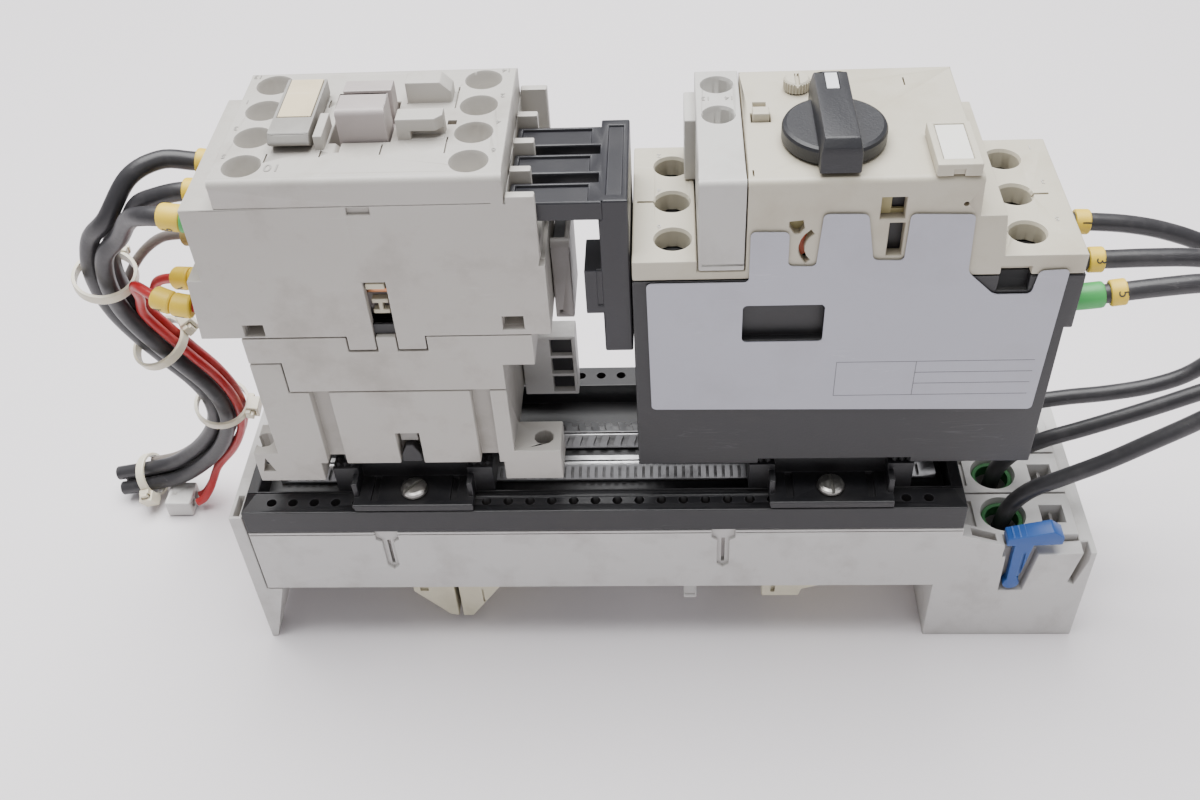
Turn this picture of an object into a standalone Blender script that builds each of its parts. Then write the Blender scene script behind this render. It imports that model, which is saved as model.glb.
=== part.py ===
"""A motor starter: a contactor and a motor-protection breaker, side by side on a busbar adapter.

Sizes are in millimetres and become metres as each mesh is made. The assembly stands on z = 0, +X runs
along the adapter, +Y to its rear edge, and the origin is under the middle of the object's own box.
Each device is drawn in its own frame, whose origin is on its rail seat, under the middle of the device.
"""

import math

import bmesh
import bpy
from mathutils import Matrix, Vector

MM = 0.001
GAP = 0.3              # between two pieces that touch
RUNNING = 0.4          # between a moving piece and its guide

# Busbar adapter
ADAPTER_WIDTH = 54.0
ADAPTER_LEFT = -108.2
ADAPTER_RIGHT = 111.9
STAND_HEIGHT = 22.0    # clear height under the trunk
TRUNK_HEIGHT = 23.0
HEAD_LENGTH = 40.3     # the deep end that holds the outgoing terminals
COVER_LENGTH = 184.6
COVER_THICKNESS = 7.7
STRIP_WIDTH = 7.6      # solid strip along each long edge of the cover
CHANNEL_FLOOR = 1.2
CARRIER_HEIGHT = 13.2
RAIL_SECTION = 35.0
END_WALL = 3.4
SCREW_HEAD_RADIUS = 3.5
SCREW_SHANK_RADIUS = 1.9
SCREW_Y = -22.0
CARRIER_FLOOR = 2.2    # plate under the sled's pockets
TERMINAL_PITCH = 14.8
TERMINAL_LENGTH = 30.0

# Contactor
CONTACTOR_RIGHT = -24.0    # beside the link module
CONTACTOR_LENGTH = 81.0
CONTACTOR_WIDTH = 45.0
CONTACTOR_HEIGHT = 84.2
POLE_PITCH = 11.0
SCREW_HOLE_RADIUS = 3.8
STROKE = 5.0           # travel of the contact carrier

# Breaker
BREAKER_LEFT = -5.4        # beside the link module
BREAKER_LENGTH = 97.0
BREAKER_WIDTH = 45.0
BREAKER_HEIGHT = 81.5
BREAKER_PITCH = 14.2
KNOB_RADIUS = 11.0
KNOB_LENGTH = 28.0
KNOB_Y = -7.5
BUTTON_TRAVEL = 1.5

# Wires
POWER_WIRE = 4.4
CONTROL_WIRE = 2.5

TRUNK_TOP = STAND_HEIGHT + TRUNK_HEIGHT
COVER_TOP = TRUNK_TOP + GAP + COVER_THICKNESS
RAIL_TOP = COVER_TOP + CARRIER_HEIGHT
SEAT = RAIL_TOP + GAP
HALF_WIDTH = ADAPTER_WIDTH / 2
CONTACTOR_X = CONTACTOR_RIGHT - CONTACTOR_LENGTH / 2
BREAKER_X = BREAKER_LEFT + BREAKER_LENGTH / 2
RAIL_LEFT_X = CONTACTOR_X + 1.3
RAIL_RIGHT_X = BREAKER_X - 0.5

FINISHES = {
    "warm_grey": ((0.62, 0.61, 0.58), 0.5, 0.0),
    "pale_grey": ((0.66, 0.66, 0.64), 0.5, 0.0),
    "pink_grey": ((0.56, 0.51, 0.49), 0.5, 0.0),
    "cream": ((0.72, 0.68, 0.56), 0.5, 0.0),
    "beige": ((0.62, 0.58, 0.48), 0.5, 0.0),
    "charcoal": ((0.030, 0.028, 0.032), 0.55, 0.0),
    "silver_label": ((0.40, 0.41, 0.44), 0.35, 0.3),
    "blue": ((0.02, 0.06, 0.22), 0.45, 0.0),
    "aluminium": ((0.62, 0.62, 0.62), 0.35, 1.0),
    "zinc": ((0.66, 0.66, 0.66), 0.3, 1.0),
    "steel": ((0.42, 0.42, 0.43), 0.4, 1.0),
    "copper": ((0.72, 0.35, 0.18), 0.35, 1.0),
    "black_wire": ((0.025, 0.025, 0.028), 0.5, 0.0),
    "red_wire": ((0.50, 0.02, 0.02), 0.45, 0.0),
    "grey_wire": ((0.20, 0.18, 0.17), 0.5, 0.0),
    "nylon": ((0.68, 0.64, 0.52), 0.5, 0.0),
}

for old in list(bpy.data.objects):
    bpy.data.objects.remove(old, do_unlink=True)


# Making and joining shapes

def finish_material(finish):
    """The Principled material of one finish, made once."""
    if finish in bpy.data.materials:
        return bpy.data.materials[finish]
    colour, roughness, metallic = FINISHES[finish]
    material = bpy.data.materials.new(finish)
    material.use_nodes = True
    shader = material.node_tree.nodes["Principled BSDF"]
    shader.inputs["Base Color"].default_value = (*colour, 1.0)
    shader.inputs["Roughness"].default_value = roughness
    shader.inputs["Metallic"].default_value = metallic
    return material


def prism(outline, low, high, along="Y"):
    """A closed solid: an outline in the other two axes, carried from low to high along one axis."""
    place = {
        "X": lambda u, v, w: (w, u, v),
        "Y": lambda u, v, w: (u, w, v),
        "Z": lambda u, v, w: (u, v, w),
    }[along]
    shape = bmesh.new()
    ends = [[shape.verts.new(Vector(place(u, v, w)) * MM) for u, v in outline] for w in (low, high)]
    shape.faces.new(ends[0])
    shape.faces.new(ends[1])
    for i in range(len(outline)):
        shape.faces.new((ends[0][i - 1], ends[0][i], ends[1][i], ends[1][i - 1]))
    bmesh.ops.recalc_face_normals(shape, faces=shape.faces)
    return shape


def block(x, y, z):
    """A box between two values on each axis."""
    return prism([(x[0], y[0]), (x[1], y[0]), (x[1], y[1]), (x[0], y[1])], z[0], z[1], "Z")


def circle(u, v, radius, sides=12):
    turns = [2 * math.pi * (i + 0.5) / sides for i in range(sides)]
    return [(u + radius * math.cos(turn), v + radius * math.sin(turn)) for turn in turns]


def rod(u, v, radius, low, high, along="Z", sides=12):
    return prism(circle(u, v, radius, sides), low, high, along)


def mesh_object(name, shapes, parent):
    """One object that holds the given shapes, which stay clear of each other."""
    joined = bmesh.new()
    for shape in shapes:
        mesh = bpy.data.meshes.new(name)
        shape.to_mesh(mesh)
        shape.free()
        joined.from_mesh(mesh)
        bpy.data.meshes.remove(mesh)
    mesh = bpy.data.meshes.new(name)
    joined.to_mesh(mesh)
    joined.free()
    made = bpy.data.objects.new(name, mesh)
    bpy.context.collection.objects.link(made)
    made.parent = parent
    return made


def solid(name, finish, shape, add=(), cut=(), parent=None, pivot=(0, 0, 0)):
    """A sub-part: a shape with others joined on and groups of cutters taken away. Pivot is its origin."""
    made = mesh_object(name, [shape], parent)
    steps = [("UNION", [other]) for other in add] + [("DIFFERENCE", group) for group in cut]
    for number, (operation, shapes) in enumerate(steps):
        helper = mesh_object(f"{name}_helper_{number}", shapes, parent)
        helper.hide_render = True
        helper.display_type = "WIRE"
        boolean = made.modifiers.new(operation.title(), "BOOLEAN")
        boolean.operation = operation
        boolean.solver = "EXACT"
        boolean.object = helper
    pivot = Vector(pivot) * MM
    made.data.transform(Matrix.Translation(-pivot))
    made.location = pivot
    made.data.materials.append(finish_material(finish))
    made.data.shade_smooth()
    made.data.set_sharp_from_angle(angle=math.radians(35))
    return made


def datum(name, x, z):
    """An empty that carries one device: its own frame starts here."""
    empty = bpy.data.objects.new(name, None)
    empty.location = (x * MM, 0, z * MM)
    bpy.context.collection.objects.link(empty)
    return empty


# Busbar adapter: one long moulding, its black cover and what is fixed to them

HEAD_LEFT = ADAPTER_RIGHT - HEAD_LENGTH
COVER_RIGHT = ADAPTER_LEFT + COVER_LENGTH
HEAD_TOP = TRUNK_TOP - 9.9
TERMINAL_X = (ADAPTER_RIGHT - 3.9 - TERMINAL_LENGTH, ADAPTER_RIGHT - 3.9)
TERMINAL_FLOOR = 8.0
TERMINAL_HALF_ROW = 1.5 * TERMINAL_PITCH
FUNNEL_X = TERMINAL_X[0] + 12.0
LEVER_PIVOT = (FUNNEL_X + 2.0, STAND_HEIGHT + 0.5)
CELL_DEPTH = TRUNK_HEIGHT - 3.0
HOOK_X = -57.6
FIN_X = 7.3
FOOT_X = 42.2
UNDERSIDE_FIXINGS = (HOOK_X, FIN_X, FOOT_X)    # the underside stays solid round each of these
adapter = datum("adapter", 0, 0)


def underside_cells():
    """Moulded-out cells in three rows under the trunk and the head, which leave ribs 2 mm thick."""
    rows = ((-HALF_WIDTH + 2.5, -9), (-7, 7), (9, HALF_WIDTH - 2.5))
    cells = []
    left = ADAPTER_LEFT + 3
    while left + 18 < HEAD_LEFT:
        middle = left + 9
        if all(abs(middle - x) > 14 for x in UNDERSIDE_FIXINGS):
            cell_z = (STAND_HEIGHT - 1, STAND_HEIGHT + CELL_DEPTH)
            cells += [block((left, left + 18), row, cell_z) for row in rows]
        left += 20
    for left in (HEAD_LEFT + 2.5, HEAD_LEFT + 20.9):
        cells += [block((left, left + 16.4), row, (-1, TERMINAL_FLOOR - 2.5)) for row in rows]
    return cells


def key_slot(x):
    """A narrow slot with a wider pointed recess round it, in the front face under the cover."""
    recess = [(x - 3, TRUNK_TOP - 3), (x - 1.5, TRUNK_TOP - 4), (x - 1.5, STAND_HEIGHT + 9.5),
              (x, STAND_HEIGHT + 8),
              (x + 1.5, STAND_HEIGHT + 9.5), (x + 1.5, TRUNK_TOP - 4), (x + 3, TRUNK_TOP - 3),
              (x + 3, TRUNK_TOP + 1),
              (x - 3, TRUNK_TOP + 1)]
    return prism(recess, -HALF_WIDTH - 1, -HALF_WIDTH + 1)


trunk_outline = [
    (ADAPTER_LEFT, STAND_HEIGHT), (HEAD_LEFT, STAND_HEIGHT), (HEAD_LEFT, 0), (ADAPTER_RIGHT, 0),
    (ADAPTER_RIGHT, HEAD_TOP), (FUNNEL_X - 2, HEAD_TOP - 1.5), (FUNNEL_X - 2, TRUNK_TOP - 6.9),
    (COVER_RIGHT + GAP, TRUNK_TOP - 2.8), (COVER_RIGHT + GAP, TRUNK_TOP), (ADAPTER_LEFT, TRUNK_TOP)]
lever_slot = [
    (LEVER_PIVOT[0] - 2.8, LEVER_PIVOT[1] - 2.8), (LEVER_PIVOT[0] + 3.4, LEVER_PIVOT[1] - 2.8),
    (LEVER_PIVOT[0] + 6.4, TRUNK_TOP), (LEVER_PIVOT[0] - 3.4, TRUNK_TOP)]
spring_tab_slot = [
    (ADAPTER_RIGHT - 5.2, STAND_HEIGHT + 1), (ADAPTER_RIGHT - 3.6, STAND_HEIGHT),
    (ADAPTER_RIGHT - 1.6, HEAD_TOP - 4),
    (ADAPTER_RIGHT - 1.6, HEAD_TOP + 1), (ADAPTER_RIGHT - 3.2, HEAD_TOP + 1)]
solid(
    "adapter_trunk", "pale_grey", prism(trunk_outline, -HALF_WIDTH, HALF_WIDTH), parent=adapter,
    cut=[
        underside_cells(),
        [block((TERMINAL_X[0] - GAP, TERMINAL_X[1] + GAP),
               (-TERMINAL_HALF_ROW - GAP, TERMINAL_HALF_ROW + GAP),
               (TERMINAL_FLOOR, TRUNK_TOP + 5))],
        [key_slot(-71.8), key_slot(15.8), prism(lever_slot, -HALF_WIDTH - 1, -HALF_WIDTH + 2.9),
         prism(spring_tab_slot, -HALF_WIDTH - 1, -HALF_WIDTH + 4),
         block((COVER_RIGHT + 3, FUNNEL_X - 4), (-HALF_WIDTH + 1.2, -HALF_WIDTH + 3.6),
               (TRUNK_TOP - 9, TRUNK_TOP + 1))]])

end_outline = [
    (ADAPTER_LEFT - GAP, TRUNK_TOP + 6), (ADAPTER_LEFT - GAP - END_WALL, TRUNK_TOP + 6),
    (ADAPTER_LEFT - GAP - END_WALL, 0), (ADAPTER_LEFT - 2, 0), (ADAPTER_LEFT + 4, STAND_HEIGHT - GAP),
    (ADAPTER_LEFT - GAP, STAND_HEIGHT - GAP)]
solid(
    "end_plate", "pale_grey", prism(end_outline, -HALF_WIDTH, HALF_WIDTH), parent=adapter,
    cut=[[block((ADAPTER_LEFT - GAP - END_WALL + 1, ADAPTER_LEFT - 1.2), (-HALF_WIDTH + 1, -HALF_WIDTH + 8),
                (TRUNK_TOP - 2, TRUNK_TOP + 7))]])

channel = (-HALF_WIDTH + STRIP_WIDTH, HALF_WIDTH - STRIP_WIDTH)
channel_floor = TRUNK_TOP + GAP + CHANNEL_FLOOR
solid(
    "adapter_cover", "charcoal",
    block((ADAPTER_LEFT, COVER_RIGHT), (-HALF_WIDTH, HALF_WIDTH), (TRUNK_TOP + GAP, COVER_TOP)),
    parent=adapter,
    cut=[[block((ADAPTER_LEFT + 3, COVER_RIGHT - 3), channel, (channel_floor, COVER_TOP + 1))],
         [rod(x, SCREW_Y, SCREW_SHANK_RADIUS + GAP, COVER_TOP - 5, COVER_TOP + 1)
          for x in (RAIL_LEFT_X, RAIL_RIGHT_X)]])

for side, (front, back) in (("front", (-11.0, -3.5)), ("rear", (1.0, 9.0))):
    solid(
        f"toothed_track_{side}", "aluminium",
        block((ADAPTER_LEFT + 6, COVER_RIGHT - 5), (front, back), (channel_floor + GAP, channel_floor + 2.2)),
        parent=adapter)


def rail_carrier(name, x):
    """The black sled that carries one device: a short rail section with wings and a pocket for its screw."""
    low = COVER_TOP + GAP
    half = RAIL_SECTION / 2
    floor = low + CARRIER_FLOOR
    return solid(
        name, "charcoal", block((x - half, x + half), (-18, 18), (low, RAIL_TOP)), parent=adapter,
        add=[block((x - half - 3, x + half + 3), (-20, 20), (low, RAIL_TOP - 4.2)),
             block((x - half + 2, x + half - 2), (-HALF_WIDTH, HALF_WIDTH), (low, floor)),
             block((x - half + 2, x + half - 2), (-HALF_WIDTH + 3, HALF_WIDTH - 3), (low, RAIL_TOP - 6))],
        cut=[[block((x - 14, x + 14), (-HALF_WIDTH + 2, -16.5), (floor, RAIL_TOP + 1)),
              block((x - 14, x + 14), (16.5, HALF_WIDTH - 2), (floor, RAIL_TOP + 1))],
             [block((x - 12, x + 12), (-13, 13), (low - 1, RAIL_TOP - 2.5))],
             [rod(x, SCREW_Y, SCREW_SHANK_RADIUS + GAP, low - 1, floor + 1)]])


def carrier_screw(name, x):
    """A slotted pan-head screw through the floor of the sled's pocket, into the cover."""
    top = COVER_TOP + GAP + CARRIER_FLOOR + GAP
    return solid(
        name, "zinc", rod(x, SCREW_Y, SCREW_HEAD_RADIUS, top, top + 2.0, sides=16), parent=adapter,
        add=[rod(x, SCREW_Y, SCREW_SHANK_RADIUS, COVER_TOP - 4.5, top + 0.5)],
        cut=[[block((x - 0.5, x + 0.5), (-26, -18), (top + 1.1, top + 3))]])


for side, x in (("left", RAIL_LEFT_X), ("right", RAIL_RIGHT_X)):
    rail_carrier(f"rail_carrier_{side}", x)
    carrier_screw(f"carrier_screw_{side}", x)

for number in range(3):
    middle = (1 - number) * TERMINAL_PITCH
    half = TERMINAL_PITCH / 2 - GAP
    top = HEAD_TOP + 1.5
    solid(
        f"outgoing_terminal_{number + 1}", "pale_grey",
        block(TERMINAL_X, (middle - half, middle + half), (TERMINAL_FLOOR + GAP, top)), parent=adapter,
        cut=[[rod(FUNNEL_X, middle, 5.3, top - 16, top + 1, sides=16),
              block((FUNNEL_X + 9.8, FUNNEL_X + 15.8), (middle - 3, middle + 3), (top - 10, top + 1))]])

pad_low = HEAD_TOP + 2.6
pad = [(LEVER_PIVOT[0] - 3.6, pad_low), (LEVER_PIVOT[0] + 10.5, pad_low + 0.6),
       (LEVER_PIVOT[0] + 10.5, pad_low + 3.4),
       (LEVER_PIVOT[0] + 7.5, pad_low + 5.6), (LEVER_PIVOT[0] - 3.6, pad_low + 2.6)]
stem = [(LEVER_PIVOT[0] - 1.3, LEVER_PIVOT[1]), (LEVER_PIVOT[0] + 1.3, LEVER_PIVOT[1]),
        (LEVER_PIVOT[0] + 3.4, pad_low + 1), (LEVER_PIVOT[0] - 1.6, pad_low + 1)]
stem_depth = (-HALF_WIDTH, -HALF_WIDTH + 2.4)
solid(
    "release_lever", "blue", prism(pad, -HALF_WIDTH, -HALF_WIDTH + 4.6), parent=adapter,
    add=[prism(stem, *stem_depth), rod(*LEVER_PIVOT, 2.2, *stem_depth, "Y")],
    pivot=(LEVER_PIVOT[0], -HALF_WIDTH + 1.2, LEVER_PIVOT[1]))

hook_top = STAND_HEIGHT - GAP
solid(
    "busbar_hook", "cream",
    prism([(HOOK_X - 12.4, hook_top), (HOOK_X - 0.6, hook_top), (HOOK_X - 0.6, 2.6),
           (HOOK_X - 3, 3.2), (HOOK_X - 12.0, hook_top - 8)], -22, 22), parent=adapter)
solid(
    "busbar_latch", "cream",
    prism([(HOOK_X + 0.6, hook_top - RUNNING), (HOOK_X + 12.6, hook_top - RUNNING),
           (HOOK_X + 12.8, hook_top - 5.4), (HOOK_X + 3.4, 2.6), (HOOK_X + 0.6, 2.6)], -22, 22),
    parent=adapter, pivot=(HOOK_X + 6, 0, hook_top))
solid(
    "centre_fin", "pale_grey", block((FIN_X - 1.7, FIN_X + 1.8), (-22, 22), (STAND_HEIGHT - 11.4, hook_top)),
    parent=adapter)
foot_steps = [(-15.2, 0), (-15.2, -10.3), (-5.0, -10.3), (-4.3, -7.7), (0.7, -5.9), (4.6, -4.6), (11.0, -4.2),
              (15.2, -1.0), (15.2, 0)]
solid(
    "contact_foot", "cream", prism([(FOOT_X + x, hook_top + z) for x, z in foot_steps], -22, 22),
    parent=adapter)


# Contactor: rail base, magnet frame, contact housing and front cover, with the moving carrier inside

contactor = datum("contactor", CONTACTOR_X, SEAT)
C_LEFT = -CONTACTOR_LENGTH / 2
C_RIGHT = CONTACTOR_LENGTH / 2
C_HALF = CONTACTOR_WIDTH / 2
POLES = [(i - 1.5) * POLE_PITCH for i in range(4)]
BODY_LEFT = C_LEFT + 9.5         # left wall of the base and the magnet frame
BASE_RIGHT = C_RIGHT - 12.0      # right wall of the base, set back behind the front wall
BASE_TOP = 24.5
BASE_SHOULDER = 33.7
FRAME_TOP = 41.5
HOUSING_LOW = FRAME_TOP + GAP
HOUSING_TOP = CONTACTOR_HEIGHT - 6.8
COVER_LOW = HOUSING_TOP + GAP
FRONT_COVER_X = (C_LEFT + 12.3, C_RIGHT - 7.3)
FOOT_LOW = -6.2
MAGNET_CAVITY = (BODY_LEFT + 7.5, BASE_RIGHT - 5.0)
MAGNET_HALF = 17.0
MAGNET_X = (MAGNET_CAVITY[0] + MAGNET_CAVITY[1]) / 2
CORE_HALF = (MAGNET_CAVITY[1] - MAGNET_CAVITY[0]) / 2 - 1.5
CORE_LEG = 5.0
CORE_TOP = FRAME_TOP - 10.3
ARMATURE_LOW = CORE_TOP + STROKE + GAP
ARMATURE_THICKNESS = 5.8
COIL_X_HALF = CORE_HALF - CORE_LEG - GAP
CARRIER_X = (-2.5, 8.0)


lug_rows = ((-C_HALF, -C_HALF + 10.5), (C_HALF - 10.5, C_HALF))
left_lug_x = (C_LEFT + 3.2, C_LEFT + 19.8)
right_lug_x = (C_RIGHT - 15.0, C_RIGHT - 0.5)
lug_z = (FOOT_LOW, FOOT_LOW + 10.0)
base_outline = [(BODY_LEFT, 0), (BASE_RIGHT, 0), (BASE_RIGHT, BASE_TOP), (BODY_LEFT + 7.4, BASE_TOP),
                (BODY_LEFT + 7.4, BASE_SHOULDER), (BODY_LEFT, BASE_SHOULDER)]
lug_hole_x = (C_LEFT + 5.2, C_RIGHT - 5.0)
solid(
    "contactor_base", "warm_grey", prism(base_outline, -C_HALF, C_HALF), parent=contactor,
    add=[block(x, y, lug_z) for x in (left_lug_x, right_lug_x) for y in lug_rows],
    cut=[[block(MAGNET_CAVITY, (-MAGNET_HALF, MAGNET_HALF), (4, BASE_TOP + 1))],
         [block((x, x + 4.7), (-C_HALF - 1, -C_HALF + 3), (-0.5, BASE_TOP + 0.5)) for x in (-18.8, 19.8)],
         [block((-0.3, 5.5), (-C_HALF - 1, -C_HALF + 4), (-1, 10.3))],
         [rod(x, y, 2.4, lug_z[0] - 1, lug_z[1] + 1, sides=10) for x in lug_hole_x for y in (-17.5, 17.5)]])

tab_x = ((-6.5, -0.1), (5.0, 11.5))
tab_depth = 3.0
frame_outline = [
    (BODY_LEFT, BASE_SHOULDER + GAP), (BODY_LEFT + 7.4 + GAP, BASE_SHOULDER + GAP),
    (BODY_LEFT + 7.4 + GAP, BASE_TOP + GAP), (BASE_RIGHT, BASE_TOP + GAP), (BASE_RIGHT, BASE_SHOULDER - 1.2),
    (C_RIGHT - 4.5, BASE_SHOULDER - 1.2), (C_RIGHT - 4.5, FRAME_TOP), (BODY_LEFT, FRAME_TOP)]
solid(
    "magnet_frame", "warm_grey", prism(frame_outline, -C_HALF, C_HALF), parent=contactor,
    cut=[[block((MAGNET_CAVITY[0] + 1, MAGNET_CAVITY[1]), (-MAGNET_HALF, MAGNET_HALF),
                (BASE_TOP - 1, FRAME_TOP + 1))],
         [block((low - GAP, high + GAP), (-C_HALF - 1, -C_HALF + tab_depth + GAP),
                (FRAME_TOP - 4.3, FRAME_TOP + 1))
          for low, high in tab_x]])

ledge_step = HOUSING_LOW + 16.8
housing_outline = [
    (C_LEFT + 0.3, HOUSING_LOW), (C_RIGHT, HOUSING_LOW), (C_RIGHT, ledge_step + 3),
    (C_RIGHT - 0.9, ledge_step + 3),
    (C_RIGHT - 0.9, HOUSING_TOP + 1.7), (FRONT_COVER_X[1] + GAP, HOUSING_TOP + 1.7),
    (FRONT_COVER_X[1] + GAP, HOUSING_TOP),
    (C_LEFT + 4.6, HOUSING_TOP), (C_LEFT + 4.6, ledge_step), (C_LEFT + 1.4, ledge_step)]
FIN_HALF = 1.0
bay_edges = [-C_HALF + 2 - FIN_HALF, -POLE_PITCH, 0, POLE_PITCH, C_HALF - 2 + FIN_HALF]
recess_x = FRONT_COVER_X[1] + 0.2
recess_z = (HOUSING_TOP - 12, HOUSING_TOP + 3)
bays = [block((recess_x, C_RIGHT + 1), (low + FIN_HALF, high - FIN_HALF), recess_z)
        for low, high in zip(bay_edges, bay_edges[1:])]
fin_ends = block((C_RIGHT - 2.4, C_RIGHT + 1), (-C_HALF + 2.2, C_HALF - 2.2), recess_z)
fin_tops = block((recess_x + 0.1, C_RIGHT + 1), (-C_HALF + 2.2, C_HALF - 2.2),
                 (HOUSING_TOP + 1.1, HOUSING_TOP + 3))
window = [(tab_x[0][1], HOUSING_LOW - 1), (tab_x[1][0], HOUSING_LOW - 1), (tab_x[1][0], HOUSING_LOW + 15.5),
          (tab_x[0][1], HOUSING_LOW + 15.5)]
front_wall = (-C_HALF - 1, -C_HALF + 4)
wire_pocket_z = (HOUSING_TOP - 13.5, HOUSING_TOP - 2)
coil_pocket_z = (HOUSING_LOW + 2.5, HOUSING_LOW + 11.5)
hole_x = (FRONT_COVER_X[0] + 6.3, FRONT_COVER_X[1] - 7.2)
screw_holes = [(x, y) for x in hole_x for y in POLES]
chamber = [
    (MAGNET_X - CORE_HALF - 1, HOUSING_LOW - 5), (MAGNET_X + CORE_HALF + 1, HOUSING_LOW - 5),
    (MAGNET_X + CORE_HALF + 1, HOUSING_LOW + 4), (19, HOUSING_LOW + 4), (19, HOUSING_TOP - 4),
    (-17, HOUSING_TOP - 4), (-17, HOUSING_LOW + 4), (MAGNET_X - CORE_HALF - 1, HOUSING_LOW + 4)]
solid(
    "contact_housing", "warm_grey", prism(housing_outline, -C_HALF, C_HALF), parent=contactor,
    add=[prism([(low, HOUSING_LOW - 4), (high, HOUSING_LOW - 4), (high, HOUSING_LOW + 1),
                (low, HOUSING_LOW + 1)],
               -C_HALF, -C_HALF + tab_depth) for low, high in tab_x],
    cut=[[prism(chamber, -C_HALF + 2.5, C_HALF - 2.5)],
         bays, [fin_ends], [fin_tops],
         [prism(window, *front_wall), block((-0.1, 4.8), (-C_HALF - 1, -C_HALF + 0.8),
                                            (HOUSING_TOP - 2, HOUSING_TOP + 0.1)),
          block((-29.8, -25.1), (-C_HALF - 1, -C_HALF + 2), (HOUSING_LOW + 0.6, HOUSING_LOW + 3.8)),
          block((29.7, 34.5), (-C_HALF - 1, -C_HALF + 2), (HOUSING_LOW + 1.4, HOUSING_LOW + 5.2))],
         [block((C_LEFT, C_LEFT + 11), (y - 4.2, y + 4.2), wire_pocket_z) for y in POLES]
         + [block((C_LEFT - 1, C_LEFT + 8), (y - 4.2, y + 4.2), coil_pocket_z) for y in POLES[:3]],
         [rod(x, y, SCREW_HOLE_RADIUS - 0.3, HOUSING_TOP - 9, HOUSING_TOP + 1, sides=8) for x,
          y in screw_holes],
         [block((CARRIER_X[0] - RUNNING, CARRIER_X[1] + RUNNING), (-8 - RUNNING, 6.5 + RUNNING),
                (HOUSING_TOP - 5, HOUSING_TOP + 1))]])

cover_top = CONTACTOR_HEIGHT
well = block((CARRIER_X[0] - RUNNING - 2, CARRIER_X[1] + RUNNING), (-8 - RUNNING, 8),
             (COVER_LOW - 1, cover_top + 1))
guide_x = (CARRIER_X[1] + 2.0, CARRIER_X[1] + 12.0)
solid(
    "front_cover", "warm_grey", block(FRONT_COVER_X, (-C_HALF, C_HALF), (COVER_LOW, cover_top)),
    parent=contactor,
    add=[block(guide_x, (-8, -3.5), (cover_top - 1, cover_top + 5)),
         block(guide_x, (7, 12), (cover_top - 1, cover_top + 5)),
         block((CARRIER_X[0] - 4.8, CARRIER_X[0] - 2.8), (-11, -1.5), (cover_top - 1, cover_top + 3.3))],
    cut=[[rod(x, y, SCREW_HOLE_RADIUS, COVER_LOW - 1, cover_top + 1) for x, y in screw_holes], [well],
         [block((guide_x[0] + 3, guide_x[1] + 1), (-9, -6), (cover_top + 0.2, cover_top + 2))]])

solid(
    "contactor_tag", "cream",
    block((-16.8, CARRIER_X[0] - 5.5), (-12, 11.5), (cover_top + GAP, cover_top + 4.1)), parent=contactor)

carrier_rest = ARMATURE_LOW + ARMATURE_THICKNESS + GAP
bar_top = carrier_rest + 9.0
bar_step = carrier_rest + 4.5     # wide above this height, where the poles are
bar_x = (CARRIER_X[0] - 2.5, CARRIER_X[1] + 1.5)
BRIDGE_THICKNESS = 1.2
BRIDGE_HALF = (14.0, 2.5)
carrier_x = (CARRIER_X[0] + CARRIER_X[1]) / 2
bridge_slot = (bar_top, bar_top + BRIDGE_THICKNESS + 2 * GAP)
solid(
    "contact_carrier", "pink_grey",
    block(bar_x, (-MAGNET_HALF + 2, MAGNET_HALF - 2), (carrier_rest, bar_step + 0.5)), parent=contactor,
    add=[block((bar_x[0] - 0.1, bar_x[1] + 0.1), (-18.5, 18.5), (bar_step, bar_top)),
         block(CARRIER_X, (-8, 6.5), (bar_top - 1, cover_top - 2)),
         block(CARRIER_X, (-8, -1), (cover_top - 3, cover_top + 7.3)),
         block(CARRIER_X, (2, 6.5), (cover_top - 3, cover_top + 6.3))],
    cut=[[block((CARRIER_X[0] - 1, CARRIER_X[1] + 1), (-9, -POLE_PITCH / 2 + 2.8), bridge_slot),
          block((CARRIER_X[0] - 1, CARRIER_X[1] + 1), (POLE_PITCH / 2 - 2.8, 7.5), bridge_slot)]],
    pivot=(carrier_x, 0, carrier_rest))
solid(
    "armature", "steel",
    block((MAGNET_X - CORE_HALF, MAGNET_X + CORE_HALF), (-8, 8),
          (ARMATURE_LOW, ARMATURE_LOW + ARMATURE_THICKNESS)),
    parent=contactor)
for number, y in enumerate(POLES):
    solid(
        f"moving_bridge_{number + 1}", "copper",
        block((carrier_x - BRIDGE_HALF[0], carrier_x + BRIDGE_HALF[0]),
              (y - BRIDGE_HALF[1], y + BRIDGE_HALF[1]),
              (bar_top + GAP, bar_top + GAP + BRIDGE_THICKNESS)),
        parent=contactor)

core_x = (MAGNET_X - CORE_HALF, MAGNET_X + CORE_HALF)
core_outline = [
    (core_x[0], 4 + GAP), (core_x[1], 4 + GAP), (core_x[1], CORE_TOP), (core_x[1] - CORE_LEG, CORE_TOP),
    (core_x[1] - CORE_LEG, 10), (MAGNET_X + CORE_LEG, 10), (MAGNET_X + CORE_LEG, CORE_TOP),
    (MAGNET_X - CORE_LEG, CORE_TOP), (MAGNET_X - CORE_LEG, 10), (core_x[0] + CORE_LEG, 10),
    (core_x[0] + CORE_LEG, CORE_TOP), (core_x[0], CORE_TOP)]
solid("magnet_core", "steel", prism(core_outline, -8, 8), parent=contactor)
coil_top = CORE_TOP - 1.5
solid(
    "coil", "charcoal",
    block((MAGNET_X - COIL_X_HALF, MAGNET_X + COIL_X_HALF), (-MAGNET_HALF + 2, MAGNET_HALF - 2),
          (10 + GAP, coil_top)),
    parent=contactor,
    cut=[[block((MAGNET_X - CORE_LEG - GAP, MAGNET_X + CORE_LEG + GAP), (-8 - GAP, 8 + GAP),
                (9, coil_top + 1))]])

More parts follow.
